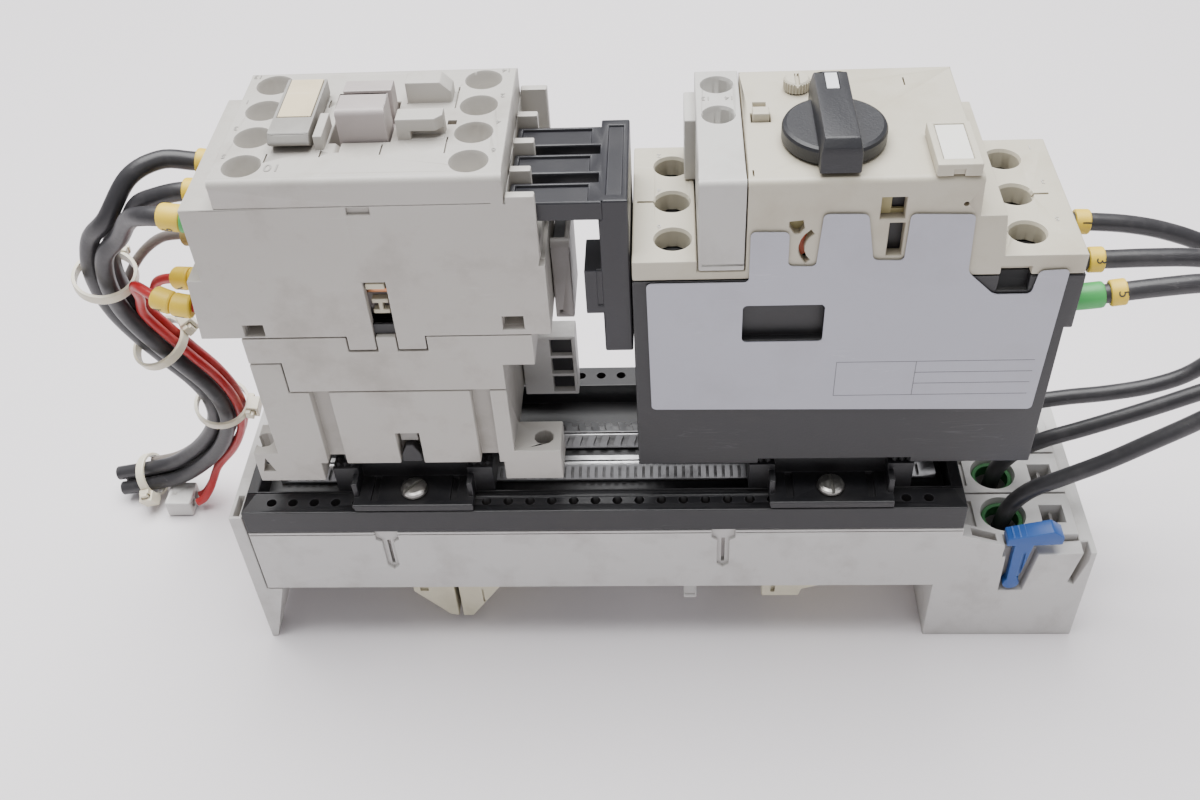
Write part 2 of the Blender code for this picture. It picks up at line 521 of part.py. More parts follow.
solid(
    "coil_terminal_plug", "pale_grey", block((C_RIGHT + GAP, C_RIGHT + 4.6), (-12, 4),
                                             (HOUSING_LOW - 4, ledge_step + 1)),
    parent=contactor, cut=[[block((C_RIGHT, C_RIGHT + 3.4), (-10, 2), (ledge_step - 4, ledge_step + 2))]])
connector_x = (BASE_RIGHT + GAP, C_RIGHT + 2.4)
connector_z = (-3.0, 17.0)
window_pitch = (connector_z[1] - connector_z[0] - 1) / 3
solid(
    "auxiliary_connector", "pale_grey", block(connector_x, (5, 11.7), connector_z), parent=contactor,
    cut=[[block((connector_x[1] - 6.5, connector_x[1] - 1), (4, 9),
                (connector_z[0] + 1 + i * window_pitch, connector_z[0] + i * window_pitch + window_pitch))
          for i in range(3)]])


def smooth_route(points, spacing):
    """Points at even steps along a smooth curve through the route's own points."""
    points = [Vector(point) for point in points]
    ends = [2 * points[0] - points[1]] + points + [2 * points[-1] - points[-2]]
    fine = []
    for a, b, c, d in zip(ends, ends[1:], ends[2:], ends[3:]):
        for step in range(24):
            t = step / 24
            fine.append(0.5 * (2 * b + (c - a) * t + (2 * a - 5 * b + 4 * c - d) * t ** 2
                               + (3 * b - a - 3 * c + d) * t ** 3))
    fine.append(points[-1])
    lengths = [0.0]
    for before, after in zip(fine, fine[1:]):
        lengths.append(lengths[-1] + (after - before).length)
    count = max(2, round(lengths[-1] / spacing))
    even, i = [], 0
    for step in range(count + 1):
        wanted = lengths[-1] * step / count
        while i < len(fine) - 2 and lengths[i + 1] < wanted:
            i += 1
        share = (wanted - lengths[i]) / max(lengths[i + 1] - lengths[i], 1e-9)
        even.append(fine[i].lerp(fine[i + 1], min(share, 1.0)))
    return even


def tube(name, finish, points, diameter, resolution=2, parent=None):
    """A round wire: a poly curve with a bevel and filled ends."""
    curve = bpy.data.curves.new(name, "CURVE")
    curve.dimensions = "3D"
    curve.bevel_depth = diameter / 2 * MM
    curve.bevel_resolution = resolution
    curve.use_fill_caps = True
    spline = curve.splines.new("POLY")
    spline.points.add(len(points) - 1)
    for place, point in zip(spline.points, points):
        place.co = (*(Vector(point) * MM), 1.0)
    made = bpy.data.objects.new(name, curve)
    bpy.context.collection.objects.link(made)
    made.parent = parent
    curve.materials.append(finish_material(finish))
    return made


# The spring that lifts the carrier stands on the coil, behind the armature

SPRING_RADIUS = 2.3
SPRING_WIRE = 0.6
SPRING_TURNS = 5
spring_low = coil_top + GAP + SPRING_WIRE / 2
spring_high = carrier_rest - GAP - SPRING_WIRE / 2
spring_y = (8 + MAGNET_HALF - 2) / 2
spring_steps = SPRING_TURNS * 10
tube("return_spring", "steel",
     [(carrier_x + SPRING_RADIUS * math.cos(2 * math.pi * i / 10),
       spring_y + SPRING_RADIUS * math.sin(2 * math.pi * i / 10),
       spring_low + (spring_high - spring_low) * i / spring_steps) for i in range(spring_steps + 1)],
     SPRING_WIRE, resolution=1, parent=contactor)


# Breaker: black base, beige cover, auxiliary block, knob and the switch that the knob slides

breaker = datum("breaker", BREAKER_X, SEAT)
B_LEFT = -BREAKER_LENGTH / 2
B_RIGHT = BREAKER_LENGTH / 2
B_HALF = BREAKER_WIDTH / 2
B_BASE_LOW = -1.5
B_COVER_LOW = BREAKER_HEIGHT - 25.0
B_BASE_TOP = B_COVER_LOW - GAP
LEDGE_TOP = B_COVER_LOW + 5.0
B_POLES = (BREAKER_PITCH, 0.0, -BREAKER_PITCH)
B_HOLE_RADIUS = 3.85
LEFT_HOLE_X = B_LEFT + 9.0
RIGHT_HOLE_X = B_RIGHT - 11.6
B_CAVITY = (LEFT_HOLE_X + B_HOLE_RADIUS + 1.6, RIGHT_HOLE_X - B_HOLE_RADIUS - 1.6)
TOP_LEFT = B_LEFT + 24.5
TOP_RIGHT = B_RIGHT - 25.0
AUX_LEFT = TOP_LEFT - 10.1
WALL = 3.0
SHOULDER_TOP = BREAKER_HEIGHT - 9.5
SIDE_WINDOW_X = (B_LEFT + 24.2, B_LEFT + 42.2)
SIDE_WINDOW_Z = (B_COVER_LOW - 17.6, B_COVER_LOW - 7.0)
CLIP_X = (B_RIGHT - 18.2, B_RIGHT - 11.8)
CLIP_LOW = B_COVER_LOW - 4.4
rail_offset = RAIL_RIGHT_X - BREAKER_X

breaker_outline = [
    (B_LEFT, B_BASE_LOW), (B_RIGHT - 1.7, B_BASE_LOW), (B_RIGHT - 1.7, B_BASE_TOP - 15),
    (B_RIGHT, B_BASE_TOP - 15),
    (B_RIGHT, B_BASE_TOP), (B_LEFT, B_BASE_TOP)]
solid(
    "breaker_base", "charcoal", prism(breaker_outline, -B_HALF, B_HALF), parent=breaker,
    cut=[[block(B_CAVITY, (-B_HALF + WALL, B_HALF - WALL), (8, B_BASE_TOP + 1))],
         [block((rail_offset - RAIL_SECTION / 2 - 1, rail_offset + RAIL_SECTION / 2 + 1),
                (-B_HALF - 1, B_HALF + 1),
                (B_BASE_LOW - 1, 0))],
         [rod(x, y, B_HOLE_RADIUS - 0.3, B_BASE_TOP - 8, B_BASE_TOP + 1, sides=8)
          for x in (LEFT_HOLE_X, RIGHT_HOLE_X) for y in B_POLES],
         [block((B_RIGHT - 8, B_RIGHT + 1), (y - 4, y + 4),
                (B_BASE_TOP - 17, B_BASE_TOP - 8.5)) for y in B_POLES],
         [block(SIDE_WINDOW_X, (-B_HALF - 1, -B_HALF + 2), SIDE_WINDOW_Z),
          block(CLIP_X, (-B_HALF - 1, -B_HALF + 2), (CLIP_LOW, B_BASE_TOP + 1))]])

shell_outline = [
    (B_LEFT + 0.1, B_COVER_LOW), (B_RIGHT - 0.4, B_COVER_LOW), (B_RIGHT - 0.4, LEDGE_TOP),
    (TOP_RIGHT + 7.1, LEDGE_TOP),
    (TOP_RIGHT + 5.9, SHOULDER_TOP), (TOP_RIGHT + 0.4, SHOULDER_TOP), (TOP_RIGHT, BREAKER_HEIGHT),
    (TOP_LEFT, BREAKER_HEIGHT), (TOP_LEFT, LEDGE_TOP - 2.8), (AUX_LEFT - GAP, LEDGE_TOP - 2.8),
    (AUX_LEFT - GAP, LEDGE_TOP), (B_LEFT + 0.1, LEDGE_TOP)]
scale_window = [
    (TOP_LEFT + 8.8, 71.3), (TOP_LEFT + 11.6, 71.6), (TOP_LEFT + 12.0, 69.6), (TOP_LEFT + 11.0, 68.2),
    (TOP_LEFT + 10.0, 68.2), (TOP_LEFT + 8.8, 70.0)]


def arc(u, v, radius, start, stop, steps=6):
    turns = [math.radians(start + (stop - start) * i / steps) for i in range(steps + 1)]
    return [(u + radius * math.cos(turn), v + radius * math.sin(turn)) for turn in turns]


SLOT_CENTRE = (TOP_LEFT + 16.6, 64.5)
curved_slot = arc(*SLOT_CENTRE, 5.6, 125, 225) + arc(*SLOT_CENTRE, 4.4, 225, 125)
front_skin = (-B_HALF - 1, -B_HALF + WALL + 1)
SHAFT_RADIUS = 3.0
BUTTON = ((TOP_LEFT + 2.0, TOP_LEFT + 5.6), (0.5, 3.6))
DIAL = (TOP_LEFT + 12.4, 13.5)
KNOB_X = TOP_LEFT + 18.5
solid(
    "breaker_cover", "beige", prism(shell_outline, -B_HALF, B_HALF), parent=breaker,
    cut=[[block((TOP_LEFT + 1.5, TOP_RIGHT - 2), (-B_HALF + WALL, B_HALF - WALL),
                (B_COVER_LOW - 1, BREAKER_HEIGHT - 3.5))],
         [rod(x, y, B_HOLE_RADIUS, B_COVER_LOW - 1, LEDGE_TOP + 1) for x in (LEFT_HOLE_X,
                                                                             RIGHT_HOLE_X) for y in B_POLES],
         [prism(scale_window, *front_skin), prism(curved_slot, *front_skin),
          block((TOP_RIGHT - 20.2, TOP_RIGHT - 15.1), front_skin, (71.5, 76.9)),
          block((TOP_RIGHT - 18.0, TOP_RIGHT - 14.8), front_skin, (62.0, 70.5)),
          block(CLIP_X, (-B_HALF - 1, -B_HALF + 2), (B_COVER_LOW - 1, B_COVER_LOW + 2))],
         [rod(KNOB_X, KNOB_Y, SHAFT_RADIUS + RUNNING, BREAKER_HEIGHT - 5, BREAKER_HEIGHT + 1, sides=16),
          block((BUTTON[0][0] - GAP, BUTTON[0][1] + GAP), (BUTTON[1][0] - GAP, BUTTON[1][1] + GAP),
                (BREAKER_HEIGHT - 5, BREAKER_HEIGHT + 1)),
          block((BUTTON[0][0] + 0.4, BUTTON[0][1] - 0.4), (5.0, 8.4),
                (BREAKER_HEIGHT - 2, BREAKER_HEIGHT + 1)),
          rod(*DIAL, 1.5 + RUNNING, BREAKER_HEIGHT - 5, BREAKER_HEIGHT + 1)]])

solid(
    "auxiliary_block", "pale_grey",
    block((AUX_LEFT, TOP_LEFT - GAP), (-B_HALF, B_HALF), (LEDGE_TOP - 2.8 + GAP, BREAKER_HEIGHT)),
    parent=breaker,
    add=[block((AUX_LEFT - 2.5, AUX_LEFT + 1), (8, B_HALF - 2), (LEDGE_TOP + GAP, BREAKER_HEIGHT - 4))],
    cut=[[rod((AUX_LEFT + TOP_LEFT) / 2, y, 3.35, BREAKER_HEIGHT - 8, BREAKER_HEIGHT + 1) for y in (16.3,
                                                                                                    3.6)]])

knob_low = BREAKER_HEIGHT + RUNNING
disc_top = knob_low + 3.9
solid(
    "knob", "charcoal", rod(KNOB_X, KNOB_Y, KNOB_RADIUS, knob_low, disc_top, sides=32), parent=breaker,
    add=[block((KNOB_X - 4.25, KNOB_X + 4.25), (KNOB_Y - KNOB_LENGTH / 2, KNOB_Y + KNOB_LENGTH / 2),
               (knob_low + 0.4, disc_top + 4.2)),
         rod(KNOB_X, KNOB_Y, SHAFT_RADIUS, B_COVER_LOW + 1, knob_low + 0.2, sides=16)],
    pivot=(KNOB_X, KNOB_Y, knob_low))
slide_x = (B_CAVITY[0] + 18.0, B_CAVITY[0] + 44.0)
solid(
    "switch_slide", "charcoal",
    block(slide_x, (-B_HALF + WALL + 2, B_HALF - WALL - 2), (B_BASE_TOP - 6, B_BASE_TOP - 2)), parent=breaker,
    pivot=(slide_x[0], 0, B_BASE_TOP - 6))
trip_radius = B_HALF - WALL - GAP - BREAKER_PITCH
for number, y in enumerate(B_POLES):
    solid(f"trip_coil_{number + 1}", "copper", rod(14, y, trip_radius, 8 + GAP, 30, sides=14), parent=breaker)
solid(
    "test_button", "beige", block(*BUTTON, (BREAKER_HEIGHT - 6, BREAKER_HEIGHT + BUTTON_TRAVEL + GAP)),
    parent=breaker,
    pivot=(BUTTON[0][0], BUTTON[1][0], BREAKER_HEIGHT))
solid(
    "current_dial", "beige", rod(*DIAL, 3.0, BREAKER_HEIGHT + GAP, BREAKER_HEIGHT + 2.8, sides=16),
    parent=breaker,
    add=[rod(*DIAL, 1.5, BREAKER_HEIGHT - 5, BREAKER_HEIGHT + 1)],
    cut=[[block((DIAL[0] - 0.5, DIAL[0] + 0.5), (DIAL[1] - 4, DIAL[1] + 4),
                (BREAKER_HEIGHT + 1.8, BREAKER_HEIGHT + 4))]],
    pivot=(*DIAL, BREAKER_HEIGHT))
solid(
    "breaker_tag", "pale_grey",
    block((TOP_RIGHT - 10.0, TOP_RIGHT - 0.9), (-B_HALF, -6.4), (BREAKER_HEIGHT + GAP, BREAKER_HEIGHT + 3.1)),
    parent=breaker)

label_low = B_COVER_LOW - 39.6
label_outline = [
    (B_LEFT + 3.1, B_COVER_LOW - 0.5), (TOP_LEFT + 0.8, B_COVER_LOW - 0.5),
    (TOP_LEFT + 0.8, B_COVER_LOW + 12.8),
    (TOP_LEFT + 8.9, B_COVER_LOW + 12.6), (TOP_LEFT + 9.0, B_COVER_LOW + 3.7),
    (TOP_LEFT + 14.9, B_COVER_LOW + 3.5),
    (TOP_LEFT + 15.7, B_COVER_LOW + 17.0), (TOP_RIGHT - 22.6, B_COVER_LOW + 16.8),
    (TOP_RIGHT - 20.6, B_COVER_LOW + 4.9),
    (TOP_RIGHT - 14.2, B_COVER_LOW + 4.7), (TOP_RIGHT - 14.0, B_COVER_LOW + 16.6),
    (TOP_RIGHT - 0.8, B_COVER_LOW + 16.2), (TOP_RIGHT - 0.2, B_COVER_LOW + 1.2),
    (CLIP_X[0] - 0.7, CLIP_LOW - 0.6),
    (CLIP_X[1] + 0.8, CLIP_LOW - 0.6), (CLIP_X[1] + 1.6, B_COVER_LOW + 1.2),
    (B_RIGHT - 3.9, B_COVER_LOW + 1.5),
    (B_RIGHT - 4.6, label_low), (B_LEFT + 3.6, label_low + 1.2)]
label_depth = (-B_HALF - GAP - 0.25, -B_HALF - GAP)
solid(
    "rating_label", "silver_label", prism(label_outline, *label_depth), parent=breaker,
    cut=[[block(SIDE_WINDOW_X, (-B_HALF - 2, -B_HALF + 1), SIDE_WINDOW_Z)]])


# Link module: three insulated bars that carry the breaker's poles to the contactor's

LINK_TOP = SEAT + HOUSING_TOP - 1.5
LINK_BAR = 4.7
link_right = BREAKER_X + B_LEFT - GAP
link_left = link_right - 6.4
link_y = (-20.0, 12.0)
solid(
    "link_module", "charcoal", block((link_left, link_right), link_y, (LINK_TOP - 41.7, LINK_TOP)),
    parent=adapter,
    add=[block((CONTACTOR_X + recess_x + GAP, link_left + 1), (y - 3.8, y + 3.8),
               (LINK_TOP - LINK_BAR, LINK_TOP))
         for y in POLES[:3]]
    + [block((link_left - 3.8, link_left + 1), (link_y[0], link_y[0] + 12),
             (LINK_TOP - 30.4, LINK_TOP - 18.4))])


# Wires. Each route's points are in the adapter's frame, from the terminal outwards

line_wires = {
    "line_wire_1": [
        (85.5, 14.2, 109.5), (91, 14.2, 109.6), (97, 14.2, 109.7), (104, 14.2, 109.6), (113, 14.2, 108.7),
        (122, 14.2, 106.6), (132, 14.2, 102.6), (141, 14.3, 96.2), (147.4, 14.4, 87.6), (149.4, 14.5, 77.5),
        (147.2, 14.6, 67.4), (141, 14.6, 59.3), (132, 14.7, 54.6), (121, 14.8, 52.0), (110, 14.8, 50.6),
        (101, 14.8, 48.6), (94.6, 14.8, 44.5), (91, 14.8, 38.6), (90, 14.8, 32.5), (90, 14.8, 26)],
    "line_wire_3": [
        (85.5, 0, 109.0), (91, 0, 109.0), (97, 0, 109.1), (105, 0, 109.2), (114, 0, 109.4), (124, 0, 109.2),
        (134, 0, 107.6), (143, 0, 103), (149.6, 0, 95.6), (152, 0, 86.2), (149.4, 0, 76.8), (142.6, 0, 69.2),
        (133, 0, 63.8), (122, 0, 58.4), (110.5, 0, 53.2), (101.4, 0, 49.3), (94.8, 0, 44.8), (91, 0, 38.8),
        (90, 0, 32.5), (90, 0, 26)],
    "line_wire_5": [
        (85.5, -14.2, 109.4), (91, -14.2, 109.5), (97, -14.2, 110.0), (104, -14.2, 111.0),
        (112, -14.2, 112.1),
        (121, -14.2, 113.0), (130, -14.2, 112.6), (138.6, -14.3, 109.6), (145, -14.4, 103.4),
        (147.4, -14.5, 94.8),
        (145, -14.6, 85.4), (139, -14.7, 77.2), (131, -14.8, 70.2), (122, -14.8, 63.4), (112.5, -14.8, 56.4),
        (103, -14.8, 50.6), (95.6, -14.8, 46.0), (91.4, -14.8, 40.0), (90, -14.8, 33.0), (90, -14.8, 26)],
}
bundle_route = [
    (-124.5, -3.2, 126.6), (-130.6, -1.2, 120.4), (-134.0, 0.6, 112.6), (-135.4, 2.6, 104.0),
    (-135.2, 5.0, 94.8),
    (-133.0, 8.0, 84.4), (-129.8, 11.4, 73.6), (-126.6, 14.8, 62.8), (-125.4, 18.0, 52.0),
    (-127.4, 21.4, 40.6),
    (-132.8, 24.6, 29.4), (-141.0, 27.2, 19.2), (-151.0, 28.8, 11.2), (-161.0, 29.4, 7.7),
    (-171.0, 29.6, 5.4)]
BUNDLED = {
    # name: finish, diameter, place in the bundle (across, out), its bundle points, points before and after them
    "load_wire_6": (
        "black_wire", POWER_WIRE, (-2.45, 1.4), (0, 15),
        [(-95.5, -16.5, 136.8), (-100.5, -16.5, 137.4), (-106, -16.1, 138.0), (-112, -14.2, 137.0),
         (-118, -9.8, 133.0)],
        []),
    "load_wire_4": (
        "black_wire", POWER_WIRE, (2.45, 1.4), (0, 15),
        [(-95.5, -5.5, 136.6), (-100.5, -5.5, 137.0), (-106, -5.3, 137.2), (-112, -4.6, 135.6),
         (-118, -3.0, 132.4)],
        []),
    "load_wire_2": (
        "black_wire", POWER_WIRE, (0.0, -3.0), (0, 15),
        [(-95.5, 5.5, 136.6), (-100.5, 5.5, 137.4), (-106, 5.5, 138.2), (-113, 4.4, 139.4),
         (-120, 0.8, 137.2)],
        []),
    "coil_wire_a": (
        "red_wire", CONTROL_WIRE, (-1.45, 5.1), (4, 11),
        [(-98.5, -16.5, 113.0), (-104, -16.5, 113.0), (-110, -16.2, 113.4), (-116, -14.4, 114.6),
         (-121.4, -10.4, 114.4),
         (-124.8, -5.8, 110.6), (-126.8, -1.4, 104.0)],
        [(-136.8, 24.8, 16.0), (-140.6, 23.2, 8.6), (-143.6, 22.2, 4.4), (-145.8, 21.6, 3.2)]),
    "coil_wire_b": (
        "red_wire", CONTROL_WIRE, (1.45, 5.1), (4, 11),
        [(-98.5, -5.5, 113.0), (-104, -5.5, 113.0), (-110, -5.0, 112.4), (-116, -3.2, 111.2),
         (-121.4, -0.2, 108.0),
         (-125.2, 2.8, 102.2)],
        [(-136.8, 27.9, 16.0), (-140.6, 26.4, 8.6), (-143.6, 25.2, 4.4), (-145.8, 24.6, 3.2)]),
    "coil_wire_c": (
        "grey_wire", CONTROL_WIRE, (3.9, -2.3), (5, 14),
        [(-98.5, 5.5, 117.2), (-104, 5.5, 117.2), (-110, 5.5, 117.4), (-116, 6.4, 117.0), (-122, 8.6, 114.2),
         (-128.6, 10.4, 108.4), (-133.8, 10.4, 101.6), (-137.4, 9.8, 94.0)],
        []),
}


def along(points, i):
    """Unit vectors at one point of a route: forwards, across and outwards."""
    forwards = (points[min(i + 1, len(points) - 1)] - points[max(i - 1, 0)]).normalized()
    across = Vector((0, 1, 0)) - forwards.y * forwards
    across.normalize()
    return forwards, across, forwards.cross(across)


bundle = [Vector(point) for point in bundle_route]
for name, route in line_wires.items():
    tube(name, "black_wire", smooth_route(route, 3 * POWER_WIRE), POWER_WIRE, parent=adapter)
for name, (finish, diameter, (across, out), (first, last), start, end) in BUNDLED.items():
    held = []
    for i in range(first, last):
        _, sideways, outwards = along(bundle, i)
        held.append(bundle[i] + across * sideways + out * outwards)
    tube(name, finish, smooth_route(start + held + end, 3 * diameter), diameter, parent=adapter)

TIE_THICKNESS = 0.8
TIE_WIDTH = 2.6
bundle_curve = smooth_route(bundle, 1.0)
TIES = (
    # share of the bundle's length, turn of the head in degrees, inner radius
    (0.14, 0, 6.9), (0.34, 60, 6.9), (0.56, 90, 6.9), (0.935, 160, 6.1))


def cable_tie(name, share, head_turn, inner):
    """A nylon band round the bundle at a share of its length, with its square head on one side."""
    i = round(share * (len(bundle_curve) - 1))
    forwards, across, outwards = along(bundle_curve, i)
    turn = Matrix((across, outwards, forwards)).transposed().to_4x4() @ Matrix.Rotation(head_turn, 4, "Z")
    place = Matrix.Translation(bundle_curve[i] * MM) @ turn
    outer = inner + TIE_THICKNESS
    band = rod(0, 0, outer, -TIE_WIDTH / 2, TIE_WIDTH / 2, sides=20)
    bore = rod(0, 0, inner, -TIE_WIDTH, TIE_WIDTH, sides=20)
    head = block((outer - 0.4, outer + 3.0), (-2.2, 2.2), (-2.4, 2.4))
    for shape in (band, bore, head):
        bmesh.ops.transform(shape, matrix=place, verts=shape.verts)
    solid(name, "nylon", band, add=[head], cut=[[bore]], parent=adapter)


for number, (share, degrees, inner) in enumerate(TIES):
    cable_tie(f"cable_tie_{number + 1}", share, math.radians(degrees), inner)
solid(
    "wire_end_connector", "pale_grey", block((-155, -147), (18.5, 27.7), (0.3, 6.0)), parent=adapter,
    cut=[[rod(y, 3.2, 0.9, -156, -150, "X", sides=8) for y in (21.6, 24.6)]])
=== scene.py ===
"""A motor starter: a contactor and a rotary motor-protection breaker on a busbar adapter, with its wires.

Sizes are in millimetres and become metres as each mesh is made. The adapter stands on z = 0, +X runs
along it to the outgoing terminals, +Y is its rear edge, and the devices' front covers face up.
"""

import math

import bmesh
import bpy
from mathutils import Matrix, Vector


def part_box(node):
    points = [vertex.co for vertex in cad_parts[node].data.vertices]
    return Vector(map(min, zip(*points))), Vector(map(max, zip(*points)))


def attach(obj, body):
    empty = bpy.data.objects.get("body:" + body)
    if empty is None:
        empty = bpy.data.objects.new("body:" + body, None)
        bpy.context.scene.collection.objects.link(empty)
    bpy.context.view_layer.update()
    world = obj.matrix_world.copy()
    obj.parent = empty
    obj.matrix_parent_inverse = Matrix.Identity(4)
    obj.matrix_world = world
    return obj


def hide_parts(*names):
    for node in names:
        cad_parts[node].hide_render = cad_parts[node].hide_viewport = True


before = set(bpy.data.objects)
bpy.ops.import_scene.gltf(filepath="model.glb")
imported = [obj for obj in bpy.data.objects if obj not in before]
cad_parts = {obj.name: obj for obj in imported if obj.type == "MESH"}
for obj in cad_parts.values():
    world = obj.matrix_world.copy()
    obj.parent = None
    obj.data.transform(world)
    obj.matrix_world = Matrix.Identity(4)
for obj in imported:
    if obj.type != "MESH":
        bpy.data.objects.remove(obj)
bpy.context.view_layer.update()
MM = 0.001

# Camera and studio. The camera looks down on the starter from in front of it. The light is a wide soft
# ceiling with a weaker one in front, and the floor is a plain pale board.

camera = bpy.data.objects.new("camera", bpy.data.cameras.new("camera"))
camera.data.sensor_width = 36.0
camera.data.lens = 38.08
camera.data.clip_start = 0.01
camera.location = (0.0029, -0.2395, 0.2950)
camera.rotation_euler = [math.radians(turn) for turn in (46.30, 2.755, 1.828)]
bpy.context.scene.collection.objects.link(camera)
bpy.context.scene.camera = camera

world = bpy.data.worlds.new("soft_room")
world.use_nodes = True
world.node_tree.nodes["Background"].inputs["Color"].default_value = (0.97, 0.96, 1.0, 1.0)
world.node_tree.nodes["Background"].inputs["Strength"].default_value = 0.42
bpy.context.scene.world = world


def soft_light(name, place, aim, size, power):
    """A square area light at a place, turned to a point."""
    light = bpy.data.objects.new(name, bpy.data.lights.new(name, "AREA"))
    light.data.size = size
    light.data.energy = power
    light.location = place
    light.rotation_euler = (Vector(aim) - Vector(place)).to_track_quat("-Z", "Y").to_euler()
    bpy.context.scene.collection.objects.link(light)


soft_light("ceiling_light", (-0.1, 0.30, 1.3), (0, 0, 0.05), 1.3, 52)
soft_light("front_light", (0.5, -1.1, 0.9), (0, 0, 0.05), 0.9, 1.5)


def feed(node, values):
    """Gives a node's inputs their values or their links, and returns the node."""
    for name, value in dict(values).items():
        if isinstance(value, bpy.types.NodeSocket):
            node.id_data.links.new(value, node.inputs[name])
        else:
            node.inputs[name].default_value = value
    return node


def put(tree, kind, values=(), **settings):
    """A node with its settings and inputs. A shader node's kind leaves out its prefix."""
    node = tree.nodes.new(kind if "Node" in kind else "ShaderNode" + kind)
    for name, value in settings.items():
        setattr(node, name, value)
    return feed(node, values)


def paint(name):
    """A new material: its tree and its Principled shader."""
    material = bpy.data.materials.new(name)
    material.use_nodes = True
    return material, material.node_tree, material.node_tree.nodes["Principled BSDF"]


def blend(tree, share, first, second):
    """Mixes two colours by a mask."""
    return put(tree, "Mix", {0: share, 6: first, 7: second}, data_type="RGBA").outputs[2]


def place_on(tree):
    return put(tree, "TexCoord").outputs["Object"]


floor_finish, tree, shader = paint("pale_board")
cloud = put(tree, "TexNoise", {"Vector": place_on(tree), "Scale": 4.0, "Detail": 3.0}).outputs["Fac"]
feed(shader, {
    "Base Color": blend(tree, cloud, (0.80, 0.765, 0.785, 1), (0.84, 0.81, 0.83, 1)), "Roughness": 0.55})
board = bpy.data.meshes.new("floor")
board.from_pydata([(-3, -2, 0), (3, -2, 0), (3, 4, 0), (-3, 4, 0)], [], [(0, 1, 2, 3)])
board.materials.append(floor_finish)
floor = bpy.data.objects.new("floor", board)
bpy.context.scene.collection.objects.link(floor)


# Surface effects. Each is one node group that the finishes of several pieces share: how a moulded colour
# drifts, where smudges lie and where shade falls in corners and recesses (painted shade), where edges are
# rubbed, hairline scratches and the fine grain of a mould.


def effect(name, inputs, outputs):
    """A shader node group with named inputs and outputs. Returns its tree and its two sets of sockets."""
    tree = bpy.data.node_groups.new(name, "ShaderNodeTree")
    for label, kind, value in inputs:
        socket = tree.interface.new_socket(label, in_out="INPUT", socket_type="NodeSocket" + kind)
        socket.default_value = value
    for label, kind in outputs:
        tree.interface.new_socket(label, in_out="OUTPUT", socket_type="NodeSocket" + kind)
    return tree, tree.nodes.new("NodeGroupInput").outputs, tree.nodes.new("NodeGroupOutput").inputs


def sums(tree, operation, first, second=0.0, clamp=False):
    """One Math node's result."""
    return put(tree, "Math", {0: first, 1: second}, operation=operation, use_clamp=clamp).outputs[0]


tree, given, out = effect(
    "tone_drift", [("Colour", "Color", (0.5, 0.5, 0.5, 1)), ("Spread", "Float", 0.1),
                   ("Scale", "Float", 40.0)],
    [("Colour", "Color")])
broad = put(tree, "TexNoise", {"Vector": place_on(tree), "Scale": given["Scale"], "Detail": 4.0})
swing = sums(tree, "MULTIPLY", sums(tree, "SUBTRACT", broad.outputs["Fac"], 0.5), given["Spread"])
toned = put(tree, "HueSaturation", {
    "Color": given["Colour"], "Value": sums(tree, "ADD", swing, 1.0),
    "Saturation": sums(tree, "SUBTRACT", 1.0, swing)})
tree.links.new(toned.outputs[0], out["Colour"])
tone_drift = tree

tree, given, out = effect(
    "smudges_and_corner_shade", [("Reach", "Float", 0.003), ("Amount", "Float", 0.5), ("Scale", "Float", 60.0)],
    [("Mask", "Float")])
# The ambient-occlusion term is a mask of where shade falls in corners and recesses; a finish that darkens by
# it paints shade there. The noise smears added to it are real smudges.
shelter = put(tree, "AmbientOcclusion", {"Distance": given["Reach"]}, samples=6)
corners = sums(tree, "POWER", sums(tree, "SUBTRACT", 1.0, shelter.outputs["AO"]), 1.6)
patches = put(tree, "TexNoise", {
    "Vector": place_on(tree), "Scale": given["Scale"], "Detail": 6.0, "Roughness": 0.62})
smears = put(tree, "MapRange", {
    "Value": patches.outputs["Fac"], "From Min": 0.50, "From Max": 0.76, "To Max": 0.55})
smudges_and_shade_sum = sums(tree, "ADD", corners, smears.outputs[0])
tree.links.new(sums(tree, "MULTIPLY", smudges_and_shade_sum, given["Amount"], clamp=True), out["Mask"])
smudges_and_corner_shade = tree

tree, given, out = effect(
    "rubbed_edges", [("Width", "Float", 0.0006), ("Amount", "Float", 0.5)], [("Mask", "Float")])
rounded = put(tree, "Bevel", {"Radius": given["Width"]}, samples=4)
facing = put(tree, "VectorMath", {
    0: rounded.outputs[0], 1: put(tree, "NewGeometry").outputs["Normal"]}, operation="DOT_PRODUCT")
turned_away = sums(tree, "MULTIPLY", sums(tree, "SUBTRACT", 1.0, facing.outputs["Value"]), 6.0)
wear_noise = put(tree, "TexNoise", {"Vector": place_on(tree), "Scale": 300.0, "Detail": 4.0})
rub_sum = sums(tree, "MULTIPLY", turned_away, wear_noise.outputs["Fac"])
tree.links.new(sums(tree, "MULTIPLY", rub_sum, given["Amount"], clamp=True), out["Mask"])
rubbed_edges = tree

tree, given, out = effect("hairlines", [("Scale", "Float", 30.0), ("Amount", "Float", 0.5)],
                          [("Mask", "Float")])
stretched = put(tree, "Mapping", {
    "Vector": place_on(tree), "Scale": (1.0, 1.0, 14.0), "Rotation": (0.5, 0.9, 0.3)})
strokes = put(tree, "TexNoise", {"Vector": stretched.outputs[0], "Scale": given["Scale"], "Detail": 2.0})
middle = sums(tree, "ABSOLUTE", sums(tree, "SUBTRACT", strokes.outputs["Fac"], 0.5))
thin = put(tree, "MapRange", {"Value": middle, "From Min": 0.0, "From Max": 0.010, "To Min": 1.0,
                              "To Max": 0.0})
where = put(tree, "TexNoise", {"Vector": place_on(tree), "Scale": 45.0})
sparse = put(tree, "MapRange", {"Value": where.outputs["Fac"], "From Min": 0.55, "From Max": 0.7})
drawn = sums(tree, "MULTIPLY", thin.outputs[0], sparse.outputs[0])
tree.links.new(sums(tree, "MULTIPLY", drawn, given["Amount"]), out["Mask"])
hairlines = tree

